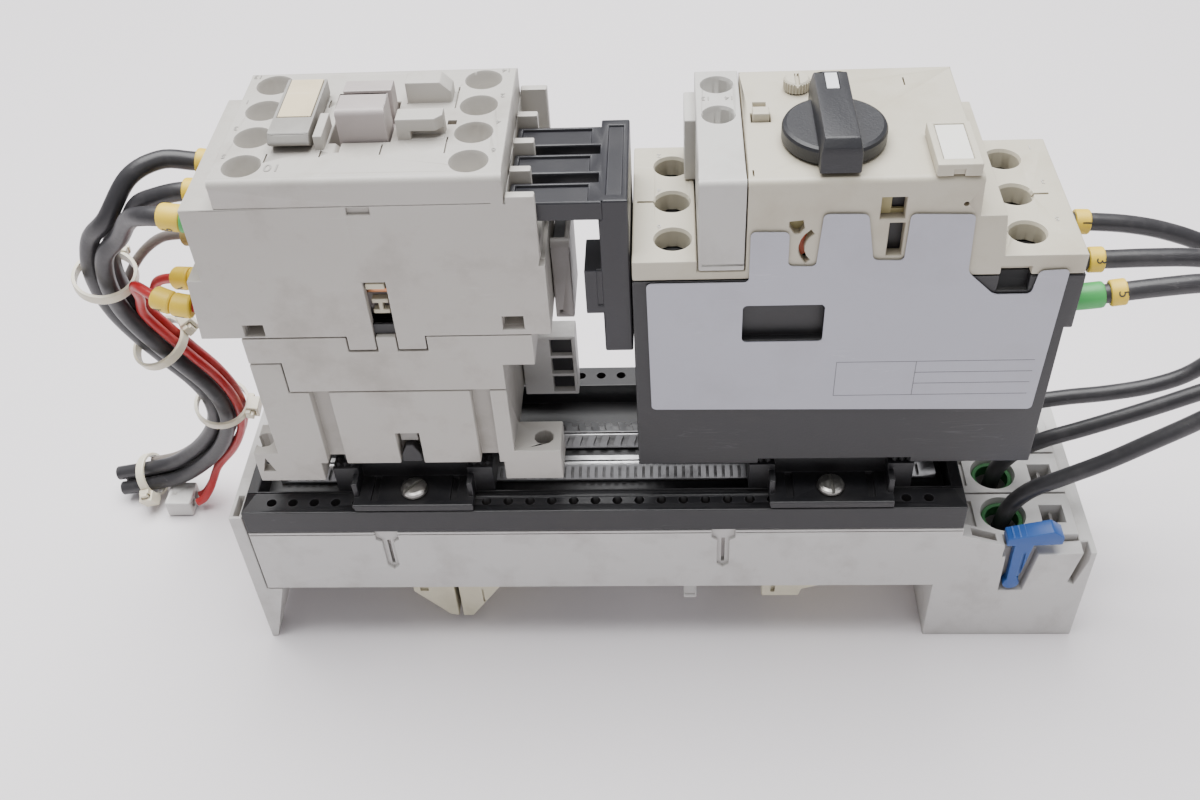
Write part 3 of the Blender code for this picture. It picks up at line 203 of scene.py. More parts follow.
tree, given, out = effect("mould_grain", [("Scale", "Float", 3000.0)], [("Height", "Float")])
fine = put(tree, "TexNoise", {"Vector": place_on(tree), "Scale": given["Scale"], "Detail": 3.0})
pits = put(tree, "TexVoronoi", {"Vector": place_on(tree),
                                "Scale": sums(tree, "MULTIPLY", given["Scale"], 0.6)})
tree.links.new(sums(tree, "ADD", fine.outputs["Fac"], pits.outputs["Distance"]), out["Height"])
mould_grain = tree


def laid(tree, group, **values):
    """One of the effects above, placed in a material with its own values."""
    return put(tree, "Group", values, node_tree=group).outputs[0]


def layered(tree, base, *layers):
    """A colour with others laid over it, each by its mask."""
    for mask, colour in layers:
        base = blend(tree, mask, base, (*colour, 1))
    return base


def ranged(tree, mask, low, high):
    """A value that goes from low to high with a mask."""
    return put(tree, "MapRange", {"Value": mask, "To Min": low, "To Max": high}).outputs[0]


def grained(tree, scale, strength, depth):
    """A normal with the grain of a mould in it."""
    height = laid(tree, mould_grain, Scale=scale)
    return put(tree, "Bump", {"Height": height, "Strength": strength, "Distance": depth}).outputs[0]


def moulded(name, colour, dirt_and_shade_colour, worn_colour, roughness=0.42, drift=0.10, dirt_and_shade_amount=0.5, rub=0.4, scuffs=0.3,
            grain=0.10, scale=45.0):
    """A moulded plastic: its colour drifts, smudges and painted shade darken its corners, and its edges and
    faces are worn.
    """
    material, tree, shader = paint(name)
    base = laid(tree, tone_drift, Colour=(*colour, 1), Spread=drift, Scale=scale)
    dirt_and_shade_mask = laid(tree, smudges_and_corner_shade, Reach=0.004, Amount=dirt_and_shade_amount, Scale=scale * 1.7)
    worn = laid(tree, rubbed_edges, Width=0.0007, Amount=rub)
    lines = laid(tree, hairlines, Scale=32.0, Amount=scuffs)
    feed(shader, {
        # The darker colour over the smudge and corner mask is real smudging, with painted shade in the
        # corners and recesses.
        "Base Color": layered(tree, base, (dirt_and_shade_mask, dirt_and_shade_colour), (worn, worn_colour), (lines, worn_colour)),
        "Roughness": ranged(tree, dirt_and_shade_mask, roughness, min(roughness + 0.3, 1.0)),
        "Normal": grained(tree, 2600.0, grain, 0.0001)})
    return material


# Wires. Stranded copper in soft insulation: three black line wires loop from the breaker's clamps down to
# the adapter's outgoing terminals, and three black load wires, two red coil wires and a grey one run from
# the contactor's left side in one bundle.

POWER_WIRE = 4.4
CONTROL_WIRE = 2.5
ROUTE_STEP = 1.2                            # between two points of a wire


def smooth_route(points, spacing):
    """Points at even steps along a smooth curve through the route's own points."""
    points = [Vector(point) for point in points]
    ends = [2 * points[0] - points[1]] + points + [2 * points[-1] - points[-2]]
    fine = []
    for a, b, c, d in zip(ends, ends[1:], ends[2:], ends[3:]):
        for step in range(24):
            t = step / 24
            fine.append(0.5 * (2 * b + (c - a) * t + (2 * a - 5 * b + 4 * c - d) * t ** 2
                               + (3 * b - a - 3 * c + d) * t ** 3))
    fine.append(points[-1])
    lengths = [0.0]
    for before, after in zip(fine, fine[1:]):
        lengths.append(lengths[-1] + (after - before).length)
    count = max(2, round(lengths[-1] / spacing))
    even, i = [], 0
    for step in range(count + 1):
        wanted = lengths[-1] * step / count
        while i < len(fine) - 2 and lengths[i + 1] < wanted:
            i += 1
        share = (wanted - lengths[i]) / max(lengths[i + 1] - lengths[i], 1e-9)
        even.append(fine[i].lerp(fine[i + 1], min(share, 1.0)))
    return even


def insulation(name, colour, bloom_and_sheen_colour, roughness):
    """Soft wire insulation: faint chalky bloom and handling marks in a lighter colour that also paints a
    sheen, and a very fine ripple.
    """
    material, tree, shader = paint(name)
    base = laid(tree, tone_drift, Colour=(*colour, 1), Spread=0.5, Scale=70.0)
    bloom = laid(tree, smudges_and_corner_shade, Reach=0.002, Amount=0.35, Scale=160.0)
    rubs = laid(tree, hairlines, Scale=60.0, Amount=0.5)
    feed(shader, {
        # The lighter colour over the bloom and rub masks is chalky bloom and scuffs, and also a painted sheen
        # on the dark insulation.
        "Base Color": layered(tree, base, (bloom, bloom_and_sheen_colour), (rubs, bloom_and_sheen_colour)),
        "Roughness": ranged(tree, bloom, roughness, roughness + 0.25),
        "Normal": grained(tree, 900.0, 0.12, 0.0002)})
    return material


black_insulation = insulation("black_insulation", (0.030, 0.029, 0.032), (0.16, 0.15, 0.15), 0.38)
red_insulation = insulation("red_insulation", (0.42, 0.018, 0.020), (0.55, 0.16, 0.13), 0.36)
grey_insulation = insulation("grey_insulation", (0.19, 0.165, 0.15), (0.34, 0.31, 0.27), 0.42)

line_wires = {
    "line_wire_1": [
        (85.5, 14.2, 109.5), (91, 14.2, 109.6), (97, 14.2, 109.7), (104, 14.2, 109.6), (113, 14.2, 108.7),
        (122, 14.2, 106.6), (132, 14.2, 102.6), (141, 14.3, 96.2), (147.4, 14.4, 87.6), (149.4, 14.5, 77.5),
        (147.2, 14.6, 67.4), (141, 14.6, 59.3), (132, 14.7, 54.6), (121, 14.8, 52.0), (110, 14.8, 50.6),
        (101, 14.8, 48.6), (94.6, 14.8, 44.5), (91, 14.8, 38.6), (90, 14.8, 32.5), (90, 14.8, 26)],
    "line_wire_3": [
        (85.5, 0, 109.0), (91, 0, 109.0), (97, 0, 109.1), (105, 0, 109.2), (114, 0, 109.4), (124, 0, 109.2),
        (134, 0, 107.6), (143, 0, 103), (149.6, 0, 95.6), (152, 0, 86.2), (149.4, 0, 76.8), (142.6, 0, 69.2),
        (133, 0, 63.8), (122, 0, 58.4), (110.5, 0, 53.2), (101.4, 0, 49.3), (94.8, 0, 44.8), (91, 0, 38.8),
        (90, 0, 32.5), (90, 0, 26)],
    "line_wire_5": [
        (85.5, -14.2, 109.4), (91, -14.2, 109.5), (97, -14.2, 110.0), (104, -14.2, 111.0),
        (112, -14.2, 112.1),
        (121, -14.2, 113.0), (130, -14.2, 112.6), (138.6, -14.3, 109.6), (145, -14.4, 103.4),
        (147.4, -14.5, 94.8), (145, -14.6, 85.4), (139, -14.7, 77.2), (131, -14.8, 70.2), (122, -14.8, 63.4),
        (112.5, -14.8, 56.4), (103, -14.8, 50.6), (95.6, -14.8, 46.0), (91.4, -14.8, 40.0), (90, -14.8, 33.0),
        (90, -14.8, 26)],
}
bundle_route = [
    (-124.5, -3.2, 126.6), (-130.6, -1.2, 120.4), (-134.0, 0.6, 112.6), (-135.4, 2.6, 104.0),
    (-135.2, 5.0, 94.8), (-133.0, 8.0, 84.4), (-129.8, 11.4, 73.6), (-126.6, 14.8, 62.8),
    (-125.4, 18.0, 52.0),
    (-127.4, 21.4, 40.6), (-132.8, 24.6, 29.4), (-141.0, 27.2, 19.2), (-151.0, 28.8, 11.2),
    (-161.0, 29.4, 7.7),
    (-171.0, 29.6, 5.4)]
BUNDLED = {
    # name: insulation, slot, diameter, place in the bundle (across, out), its bundle points, far end,
    # points before and after them
    "load_wire_6": (
        black_insulation, "black_wire", POWER_WIRE, (-2.45, 1.4), (0, 15), "bare",
        [(-95.5, -16.5, 136.8), (-100.5, -16.5, 137.4), (-106, -16.1, 138.0), (-112, -14.2, 137.0),
         (-118, -9.8, 133.0)],
        []),
    "load_wire_4": (
        black_insulation, "black_wire", POWER_WIRE, (2.45, 1.4), (0, 15), "bare",
        [(-95.5, -5.5, 136.6), (-100.5, -5.5, 137.0), (-106, -5.3, 137.2), (-112, -4.6, 135.6),
         (-118, -3.0, 132.4)],
        []),
    "load_wire_2": (
        black_insulation, "black_wire", POWER_WIRE, (0.0, -3.0), (0, 15), "bare",
        [(-95.5, 5.5, 136.6), (-100.5, 5.5, 137.4), (-106, 5.5, 138.2), (-113, 4.4, 139.4),
         (-120, 0.8, 137.2)],
        []),
    "coil_wire_a": (
        red_insulation, "red_wire", CONTROL_WIRE, (-1.45, 5.1), (4, 11), "connector",
        [(-98.5, -16.5, 113.0), (-104, -16.5, 113.0), (-110, -16.2, 113.4), (-116, -14.4, 114.6),
         (-121.4, -10.4, 114.4), (-124.8, -5.8, 110.6), (-126.8, -1.4, 104.0)],
        [(-136.8, 24.8, 16.0), (-140.6, 23.2, 8.6), (-143.6, 22.2, 4.4), (-145.8, 21.6, 3.2)]),
    "coil_wire_b": (
        red_insulation, "red_wire", CONTROL_WIRE, (1.45, 5.1), (4, 11), "connector",
        [(-98.5, -5.5, 113.0), (-104, -5.5, 113.0), (-110, -5.0, 112.4), (-116, -3.2, 111.2),
         (-121.4, -0.2, 108.0), (-125.2, 2.8, 102.2)],
        [(-136.8, 27.9, 16.0), (-140.6, 26.4, 8.6), (-143.6, 25.2, 4.4), (-145.8, 24.6, 3.2)]),
    "coil_wire_c": (
        grey_insulation, "grey_wire", CONTROL_WIRE, (3.9, -2.3), (5, 14), "bare",
        [(-98.5, 5.5, 117.2), (-104, 5.5, 117.2), (-110, 5.5, 117.4), (-116, 6.4, 117.0), (-122, 8.6, 114.2),
         (-128.6, 10.4, 108.4), (-133.8, 10.4, 101.6), (-137.4, 9.8, 94.0)],
        []),
}


def along(points, i):
    """Unit vectors at one point of a route: forwards, across and outwards."""
    forwards = (points[min(i + 1, len(points) - 1)] - points[max(i - 1, 0)]).normalized()
    across = Vector((0, 1, 0)) - forwards.y * forwards
    across.normalize()
    return forwards, across, forwards.cross(across)


def wire(name, finish, points, diameter):
    """A round wire on a smooth route: a poly curve with a bevel and filled ends."""
    curve = bpy.data.curves.new(name, "CURVE")
    curve.dimensions = "3D"
    curve.bevel_depth = diameter / 2 * MM
    curve.bevel_resolution = 5
    curve.use_fill_caps = True
    spline = curve.splines.new("POLY")
    spline.points.add(len(points) - 1)
    for place, point in zip(spline.points, points):
        place.co = (*(point * MM), 1.0)
    spline.use_smooth = True
    curve.materials.append(finish)
    made = bpy.data.objects.new(name + "_insulation", curve)
    bpy.context.scene.collection.objects.link(made)
    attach(made, "adapter")
    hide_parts(name)
    return made


bundle = [Vector(point) for point in bundle_route]
routes = {name: smooth_route(points, ROUTE_STEP) for name, points in line_wires.items()}
cords = {name: wire(name, black_insulation, routes[name], POWER_WIRE) for name in line_wires}
for name, (finish, slot, diameter, (across, outwards), (first, last), _, start, end) in BUNDLED.items():
    held = []
    for i in range(first, last):
        _, sideways, away = along(bundle, i)
        held.append(bundle[i] + across * sideways + outwards * away)
    routes[name] = smooth_route(start + held + end, ROUTE_STEP)
    cords[name] = wire(name, finish, routes[name], diameter)


# Cable ties. Natural nylon bands pulled round the bundle: a toothed strap, a square head with its slot,
# and a stub of strap cut off behind the head.


def prism(outline, low, high, along="Y"):
    """A closed solid: an outline in the other two axes, carried from low to high along one axis."""
    place = {
        "X": lambda u, v, w: (w, u, v),
        "Y": lambda u, v, w: (u, w, v),
        "Z": lambda u, v, w: (u, v, w),
    }[along]
    shape = bmesh.new()
    ends = [[shape.verts.new(Vector(place(u, v, w)) * MM) for u, v in outline] for w in (low, high)]
    shape.faces.new(ends[0])
    shape.faces.new(ends[1])
    for i in range(len(outline)):
        shape.faces.new((ends[0][i - 1], ends[0][i], ends[1][i], ends[1][i - 1]))
    bmesh.ops.recalc_face_normals(shape, faces=shape.faces)
    return shape


def block(x, y, z):
    """A box between two values on each axis."""
    return prism([(x[0], y[0]), (x[1], y[0]), (x[1], y[1]), (x[0], y[1])], z[0], z[1], "Z")


def circle(u, v, radius, sides=32):
    turns = [2 * math.pi * (i + 0.5) / sides for i in range(sides)]
    return [(u + radius * math.cos(turn), v + radius * math.sin(turn)) for turn in turns]


def rod(u, v, radius, low, high, along="Z", sides=32):
    return prism(circle(u, v, radius, sides), low, high, along)


def turned(profile, x, y, sides=40):
    """A shape turned on a vertical axis: a closed outline of (radius, height), all clear of the axis,
    or one that starts and ends on it."""
    on_axis = profile[0][0] == 0
    shape = bmesh.new()
    rings = []
    for radius, z in profile:
        if radius == 0:
            rings.append([shape.verts.new(Vector((x, y, z)) * MM)])
            continue
        rings.append([shape.verts.new(Vector((x + radius * math.cos(2 * math.pi * i / sides),
                                              y + radius * math.sin(2 * math.pi * i / sides), z)) * MM)
                      for i in range(sides)])
    pairs = list(zip(rings, rings[1:])) + ([] if on_axis else [(rings[-1], rings[0])])
    for one, two in pairs:
        for i in range(sides):
            corners = [one[i % len(one)], one[(i + 1) % len(one)], two[(i + 1) % len(two)], two[i % len(two)]]
            shape.faces.new(list(dict.fromkeys(corners)))
    bmesh.ops.recalc_face_normals(shape, faces=shape.faces)
    return shape


def joined(shapes):
    """Several shapes that stay clear of each other, as one."""
    whole = bmesh.new()
    for shape in shapes:
        mesh = bpy.data.meshes.new("joined")
        shape.to_mesh(mesh)
        shape.free()
        whole.from_mesh(mesh)
        bpy.data.meshes.remove(mesh)
    return whole


def shape_of(mesh, merge):
    """A mesh as a shape, its points merged where they lie this near each other."""
    shape = bmesh.new()
    shape.from_mesh(mesh)
    bmesh.ops.remove_doubles(shape, verts=shape.verts, dist=merge * MM)
    return shape


def flattened(shape):
    """The same shape with its flat faces whole again."""
    bmesh.ops.dissolve_limit(shape, angle_limit=math.radians(0.6), verts=shape.verts, edges=shape.edges)
    return shape


def cad_shape(node):
    return flattened(shape_of(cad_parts[node].data, 0.002))


def moved(shape, matrix):
    bmesh.ops.transform(shape, matrix=matrix, verts=shape.verts)
    return shape


def spin_at(x, y, z, degrees):
    """A turn about the vertical axis, then a move."""
    return Matrix.Translation(Vector((x, y, z)) * MM) @ Matrix.Rotation(math.radians(degrees), 4, "Z")


def plain_object(name, shape):
    mesh = bpy.data.meshes.new(name)
    shape.to_mesh(mesh)
    shape.free()
    made = bpy.data.objects.new(name, mesh)
    bpy.context.scene.collection.objects.link(made)
    return made


def settle(made):
    """Turns an object and its live modifiers into one plain mesh."""
    bpy.context.view_layer.update()
    seen = made.evaluated_get(bpy.context.evaluated_depsgraph_get())
    mesh = bpy.data.meshes.new_from_object(seen)
    made.modifiers.clear()
    made.data = mesh


def shaped(made, operation, groups):
    """Joins groups of shapes to an object, or takes them away, one exact Boolean for each group."""
    helpers = []
    for group in groups:
        helper = plain_object(made.name + "_helper", joined(group))
        boolean = made.modifiers.new(operation.title(), "BOOLEAN")
        boolean.operation = operation
        boolean.solver = "EXACT"
        boolean.object = helper
        helpers.append(helper)
    settle(made)
    for helper in helpers:
        bpy.data.objects.remove(helper)


SHARP_EDGE = math.radians(32)               # an edge that turns more than this is rounded
SHORT_EDGE = 0.9                            # an edge shorter than this isn't


def piece(name, finish, slot, shape, add=(), cut=(), edge=0.3, steps=2, fine=(), body="adapter",
          stands_for=()):
    """One finished piece: a shape with others joined on and groups of cutters taken away, its outer edges
    rounded, then wells and grooves cut to a clean rim, in its finish, riding on a body."""
    made = plain_object(name, shape)
    shaped(made, "UNION", [[other] for other in add])
    shaped(made, "DIFFERENCE", cut)
    if edge:
        whole = flattened(shape_of(made.data, 0.004))
        bmesh.ops.triangulate(whole, faces=[face for face in whole.faces if len(face.verts) > 4])
        weights = whole.edges.layers.float.new("bevel_weight_edge")
        for line in whole.edges:
            if len(line.link_faces) == 2 and line.is_convex and line.calc_length() > SHORT_EDGE * MM:
                line[weights] = float(line.calc_face_angle() > SHARP_EDGE)
        whole.to_mesh(made.data)
        whole.free()
        rounding = made.modifiers.new("Edges", "BEVEL")
        rounding.width = edge * MM
        rounding.segments = steps
        rounding.limit_method = "WEIGHT"
        rounding.use_clamp_overlap = False
        rounding.miter_outer = "MITER_ARC"
        settle(made)
    shaped(made, "DIFFERENCE", fine)
    made.data.shade_smooth()
    made.data.set_sharp_from_angle(angle=math.radians(20))
    made.data.materials.clear()
    made.data.materials.append(finish)
    made.name = name
    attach(made, body)
    if stands_for:
        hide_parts(*stands_for)
    return made


def dressed(node, finish, slot, kind="moulding", **more):
    """The finished piece that keeps a node's own shape and stands for it."""
    return piece(f"{node}_{kind}", finish, slot, cad_shape(node), stands_for=[node], **more)


def span(node):
    """The low and the high corner of a node's box."""
    return [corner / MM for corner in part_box(node)]


TIE_THICKNESS = 0.9
TIE_WIDTH = 2.6
bundle_curve = smooth_route(bundle, 1.0)
TIES = (
    # share of the bundle's length, turn of the head in degrees, inner radius
    (0.14, 0, 6.9), (0.34, 60, 6.9), (0.56, 90, 6.9), (0.935, 160, 6.1))

natural_nylon, tree, shader = paint("natural_nylon")
nylon_tone = laid(tree, tone_drift, Colour=(0.74, 0.69, 0.55, 1), Spread=0.25, Scale=120.0)
nylon_dirt_and_shade = laid(tree, smudges_and_corner_shade, Reach=0.002, Amount=0.45, Scale=200.0)
# The brown over the smudge and corner mask is dirt, with painted shade in the ties' corners and recesses.
feed(shader, {
    "Base Color": layered(tree, nylon_tone, (nylon_dirt_and_shade, (0.34, 0.29, 0.20))),
    "Normal": grained(tree, 1500.0, 0.1, 0.0001), "Roughness": 0.34, "Subsurface Weight": 0.25,
    "Subsurface Radius": (0.002, 0.0016, 0.001)})

tie_pieces = []
for number, (share, degrees, inner) in enumerate(TIES):
    i = round(share * (len(bundle_curve) - 1))
    forwards, across, away = along(bundle_curve, i)
    turn = Matrix((across, away, forwards)).transposed().to_4x4() @ spin_at(0, 0, 0, degrees)
    place = Matrix.Translation(bundle_curve[i] * MM) @ turn
    outer = inner + TIE_THICKNESS
    half = TIE_WIDTH / 2
    strap = turned([(inner, -half), (outer - 0.15, -half), (outer, -half + 0.3), (outer, half - 0.3),
                    (outer - 0.15, half), (inner, half)], 0, 0, sides=64)
    head = block((outer - 0.5, outer + 2.9), (-2.1, 2.1), (-2.3, 2.3))
    collar = block((outer - 0.6, outer + 0.9), (-3.4, 3.4), (-1.6, 1.6))
    slot_hole = block((outer + 0.7, outer + 2.0), (-3, 3), (-1.5, 1.5))
    stub = block((outer + 0.9, outer + 1.8), (-1.9, 3.6), (-1.2, 1.2))
    for shape in (strap, head, collar, slot_hole, stub):
        moved(shape, place)
    tie_pieces.append(piece(
        f"tie_{number + 1}", natural_nylon, "nylon", strap, add=[head, collar], cut=[[slot_hole]], edge=0.18,
        stands_for=[f"cable_tie_{number + 1}"]))
    tie_pieces.append(piece(f"tie_stub_{number + 1}", natural_nylon, "nylon", stub, edge=0.15))


# Wire markers. Printed plastic sleeves pushed over the wires beside each clamp: yellow ones carry the
# clamp's number, short green ones mark the circuit, and longer flags mark the coil wires.


def sleeve(name, finish, route, start, length, wire_diameter, wall=0.55):
    """A short tube over a wire, from a distance along its route, with softly rounded ends."""
    first = round(start / ROUTE_STEP)
    reach = route[first:first + max(2, round(length / ROUTE_STEP) + 1)]
    inner = wire_diameter / 2 + 0.05
    shares = [0.0, 0.04, 0.12] + [0.12 + 0.76 * i / 8 for i in range(1, 8)] + [0.88, 0.96, 1.0]
    lift = [0.5, 0.85, 1.0] + [1.0] * 7 + [1.0, 0.85, 0.5]
    shape = bmesh.new()
    rings = []
    sides = 32
    for surface in ("outside", "inside"):
        order = range(len(shares)) if surface == "outside" else reversed(range(len(shares)))
        for k in order:
            at = shares[k] * (len(reach) - 1)
            i = min(int(at), len(reach) - 2)
            centre = reach[i].lerp(reach[i + 1], at - i)
            forwards, across, away = along(reach, i)
            radius = inner + (wall * lift[k] if surface == "outside" else 0.0)
            rings.append([shape.verts.new((centre + radius * (
                across * math.cos(2 * math.pi * j / sides) + away * math.sin(2 * math.pi * j / sides))) * MM)
                for j in range(sides)])
    for one, two in zip(rings, rings[1:] + rings[:1]):
        for j in range(sides):
            shape.faces.new((one[j], one[(j + 1) % sides], two[(j + 1) % sides], two[j]))
    bmesh.ops.recalc_face_normals(shape, faces=shape.faces)
    return piece(name, finish, "nylon", shape, edge=0)


def lettering(text, size, thickness, smoothness):
    """A text as a thin closed shape about the origin."""
    letters = bpy.data.curves.new("lettering", "FONT")
    letters.body = text
    letters.size = size * MM
    letters.align_x = letters.align_y = "CENTER"
    letters.extrude = thickness / 2 * MM
    letters.resolution_u = smoothness
    made = bpy.data.objects.new("lettering", letters)
    bpy.context.scene.collection.objects.link(made)
    mesh = bpy.data.meshes.new_from_object(made.evaluated_get(bpy.context.evaluated_depsgraph_get()))
    bpy.data.objects.remove(made)
    return shape_of(mesh, 0.001)


def figure(name, text, finish, route, distance, radius, size, turn_degrees):
    """A printed figure wrapped on a sleeve: u runs round the wire and v along it."""
    shape = lettering(text, size, 0.06, 4)
    i = round(distance / ROUTE_STEP)
    forwards, across, away = along(route, i)
    start = math.radians(turn_degrees)
    for vertex in shape.verts:
        u, v, lift = vertex.co / MM
        angle = start + u / radius
        out_way = across * math.cos(angle) + away * math.sin(angle)
        vertex.co = (route[i] + forwards * v + out_way * (radius + 0.02 + lift)) * MM
    bmesh.ops.recalc_face_normals(shape, faces=shape.faces)
    if shape.calc_volume(signed=True) < 0:
        bmesh.ops.reverse_faces(shape, faces=shape.faces)
    return piece(name, finish, "nylon", shape, edge=0)


yellow_sleeve = moulded("yellow_sleeve", (0.80, 0.56, 0.045), (0.30, 0.20, 0.05), (0.86, 0.70, 0.25),
                        roughness=0.45, drift=0.16, dirt_and_shade_amount=0.4)
olive_sleeve = moulded("olive_sleeve", (0.42, 0.31, 0.09), (0.16, 0.12, 0.06), (0.60, 0.48, 0.2),
                       roughness=0.5, drift=0.3, dirt_and_shade_amount=0.7)
green_sleeve = moulded("green_sleeve", (0.06, 0.42, 0.10), (0.03, 0.14, 0.04), (0.25, 0.6, 0.3),
                       roughness=0.4)
print_black = moulded("print_black", (0.02, 0.02, 0.02), (0.05, 0.05, 0.05), (0.1, 0.1, 0.1), roughness=0.6)

MARKERS = {
    # name: wire, finish, distance from the clamp, length, figure
    "marker_1": ("line_wire_1", yellow_sleeve, 14.4, 3.6, "1"),
    "marker_3": ("line_wire_3", yellow_sleeve, 14.4, 3.8, "3"),
    "marker_5": ("line_wire_5", yellow_sleeve, 15.6, 3.8, "5"),
    "circuit_sleeve_5": ("line_wire_5", green_sleeve, 7.2, 7.8, ""),
    "marker_6": ("load_wire_6", yellow_sleeve, 7.2, 4.6, "6"),
    "circuit_sleeve_6": ("load_wire_6", green_sleeve, 4.8, 2.4, ""),
    "marker_4": ("load_wire_4", yellow_sleeve, 6.0, 4.0, "4"),
    "marker_2": ("load_wire_2", yellow_sleeve, 6.0, 3.6, "2"),
    "flag_a": ("coil_wire_a", yellow_sleeve, 8.4, 4.4, "1"),
    "flag_a_end": ("coil_wire_a", yellow_sleeve, 13.2, 4.4, "A"),
    "flag_b": ("coil_wire_b", yellow_sleeve, 7.2, 4.4, "1"),
    "flag_b_end": ("coil_wire_b", yellow_sleeve, 12.0, 4.4, "A"),
    "flag_c": ("coil_wire_c", olive_sleeve, 6.0, 4.4, ""),
    "flag_c_end": ("coil_wire_c", olive_sleeve, 10.8, 4.4, ""),
}
on_the_wires = {name: [] for name in cords}
for name, (wire_name, finish, start, length, text) in MARKERS.items():
    diameter = POWER_WIRE if wire_name in line_wires or "load" in wire_name else CONTROL_WIRE
    wall = 0.8 if diameter == POWER_WIRE else 1.5
    on_the_wires[wire_name].append(sleeve(name, finish, routes[wire_name], start, length, diameter, wall))
    if text:
        on_the_wires[wire_name].append(figure(
            name + "_figure", text, print_black, routes[wire_name], start + length / 2,
            diameter / 2 + 0.05 + wall, 3.4, 150))
on_the_wires["load_wire_6"] += tie_pieces


# Wire-end connector. A small two-way plastic shell that closes the ends of the two red wires.

light_shell = moulded("light_shell", (0.60, 0.59, 0.57), (0.20, 0.18, 0.15), (0.72, 0.71, 0.69))
connector_low, connector_high = span("wire_end_connector")
connector = piece(
    "connector_shell", light_shell, "pale_grey", cad_shape("wire_end_connector"),
    cut=[[rod(y, 3.2, 1.35, connector_high.x - 3, connector_high.x + 1, "X") for y in (21.6, 24.6)],
         [rod(connector_low.x + 2.2, (connector_low.y + connector_high.y) / 2, 0.9, 4.5, 7)]],
    edge=0.5, steps=3, stands_for=["wire_end_connector"])
on_the_wires["coil_wire_a"].append(connector)
on_the_wires["coil_wire_b"].append(connector)


# Adapter trunk. The long light-grey moulding that the devices stand on, with key slots in its front face,
# moulded-out cells underneath and the shelf of the terminal head at its right end.

SCREWED_X = (-63.2, 42.6)                   # the middle of each sled
light_plastic = moulded("light_plastic", (0.57, 0.56, 0.545), (0.16, 0.13, 0.10), (0.68, 0.67, 0.65),
                        dirt_and_shade_amount=0.55)

key_slots = [block((x - 0.45, x + 0.45), (-28, -24.4), (31.5, 41.0)) for x in (-71.8, 15.8)]
edge_line = block((-108.3, 76.5), (-27.5, -26.5), (43.9, 44.3))
dressed("adapter_trunk", light_plastic, "pale_grey", fine=[key_slots, [edge_line]])
panel = block((-113, -110.9), (-18, 18), (8, 36))
foot_gap = block((-112, -104), (-20, 20), (-1, 2.5))
dressed("end_plate", light_plastic, "pale_grey", cut=[[panel], [foot_gap]], edge=0.35)


# Slotted cover. A black moulded frame with a row of small round holes down each long side, round the
# channel that the two toothed tracks lie in.

HOLE_PITCH = 5.6
HOLES = 31
HOLE_ROWS_Y = (-23.5, 23.5)

copies = bpy.data.node_groups.new("row_of_copies", "GeometryNodeTree")
for label, kind, value in (
        ("Geometry", "Geometry", None), ("Count", "Int", 2), ("Start", "Vector", (0, 0, 0)),
        ("Step", "Vector", (0, 0, 0)), ("Turn", "Float", 0.0), ("Loose turn", "Float", 0.0),
        ("Seed", "Int", 3),
        ("Finish", "Material", None)):
    socket = copies.interface.new_socket(label, in_out="INPUT", socket_type="NodeSocket" + kind)
    if value is not None:
        socket.default_value = value
copies.interface.new_socket("Geometry", in_out="OUTPUT", socket_type="NodeSocketGeometry")
given = copies.nodes.new("NodeGroupInput").outputs
row = put(copies, "GeometryNodeMeshLine", {
    "Count": given["Count"], "Start Location": given["Start"], "Offset": given["Step"]}, mode="OFFSET")
place_in_row = put(copies, "GeometryNodeInputIndex").outputs[0]
chance = put(copies, "FunctionNodeRandomValue", {3: given["Loose turn"], "Seed": given["Seed"]},
             data_type="FLOAT")
whole_turn = sums(copies, "ADD", sums(copies, "MULTIPLY", place_in_row, given["Turn"]), chance.outputs[1])
stamped = put(copies, "GeometryNodeInstanceOnPoints", {
    "Points": row.outputs[0], "Instance": given["Geometry"],
    "Rotation": put(copies, "CombineXYZ", {"Z": whole_turn}).outputs[0]})
real = put(copies, "GeometryNodeRealizeInstances", {0: stamped.outputs[0]})
finished = put(copies, "GeometryNodeSetMaterial", {"Geometry": real.outputs[0], "Material": given["Finish"]})
put(copies, "NodeGroupOutput", {0: finished.outputs[0]})


def taken(made):
    """An object's finished mesh as a shape. The object itself goes."""
    settle(made)
    whole = bmesh.new()
    whole.from_mesh(made.data)
    bpy.data.objects.remove(made)
    return whole


def repeated(shape, count, start, step, turn=0.0, loose_turn=0.0, seed=3, finish=None):
    """Copies of one shape in a row, or on a ring where the step is nothing: each stands one step on from
    the last and is turned by one more turn."""
    made = plain_object("row", shape)
    modifier = made.modifiers.new("Copies", "NODES")
    modifier.node_group = copies
    values = {"Count": count, "Start": [c * MM for c in start], "Step": [c * MM for c in step],
              "Turn": turn, "Loose turn": loose_turn, "Seed": seed, "Finish": finish}
    for item in copies.interface.items_tree:
        if item.in_out == "INPUT" and values.get(item.name) is not None:
            modifier[item.identifier] = values[item.name]
    return taken(made)


black_plastic = moulded("black_plastic", (0.013, 0.013, 0.015), (0.045, 0.04, 0.036), (0.07, 0.07, 0.075),
                        roughness=0.40, dirt_and_shade_amount=0.45, rub=0.5, scuffs=0.45)
low, high = span("adapter_cover")
hole_rows = [repeated(rod(0, 0, 1.3, -4, 1, sides=24), HOLES, (low.x + 7.4, y, high.z), (HOLE_PITCH, 0, 0))
             for y in HOLE_ROWS_Y]
inner_line = block((low.x - 1, high.x + 1), (-20.3, -19.9), (high.z - 0.4, high.z + 1))
dressed("adapter_cover", black_plastic, "charcoal", edge=0.25, fine=[hole_rows, [inner_line]])


# Toothed tracks. Two bare aluminium strips in the channel. The front one has narrow ticks cut across its
# edge, and the rear one wide slanted teeth with a groove between its two rows.

TICK_PITCH = 2.1
TOOTH_PITCH = 3.7


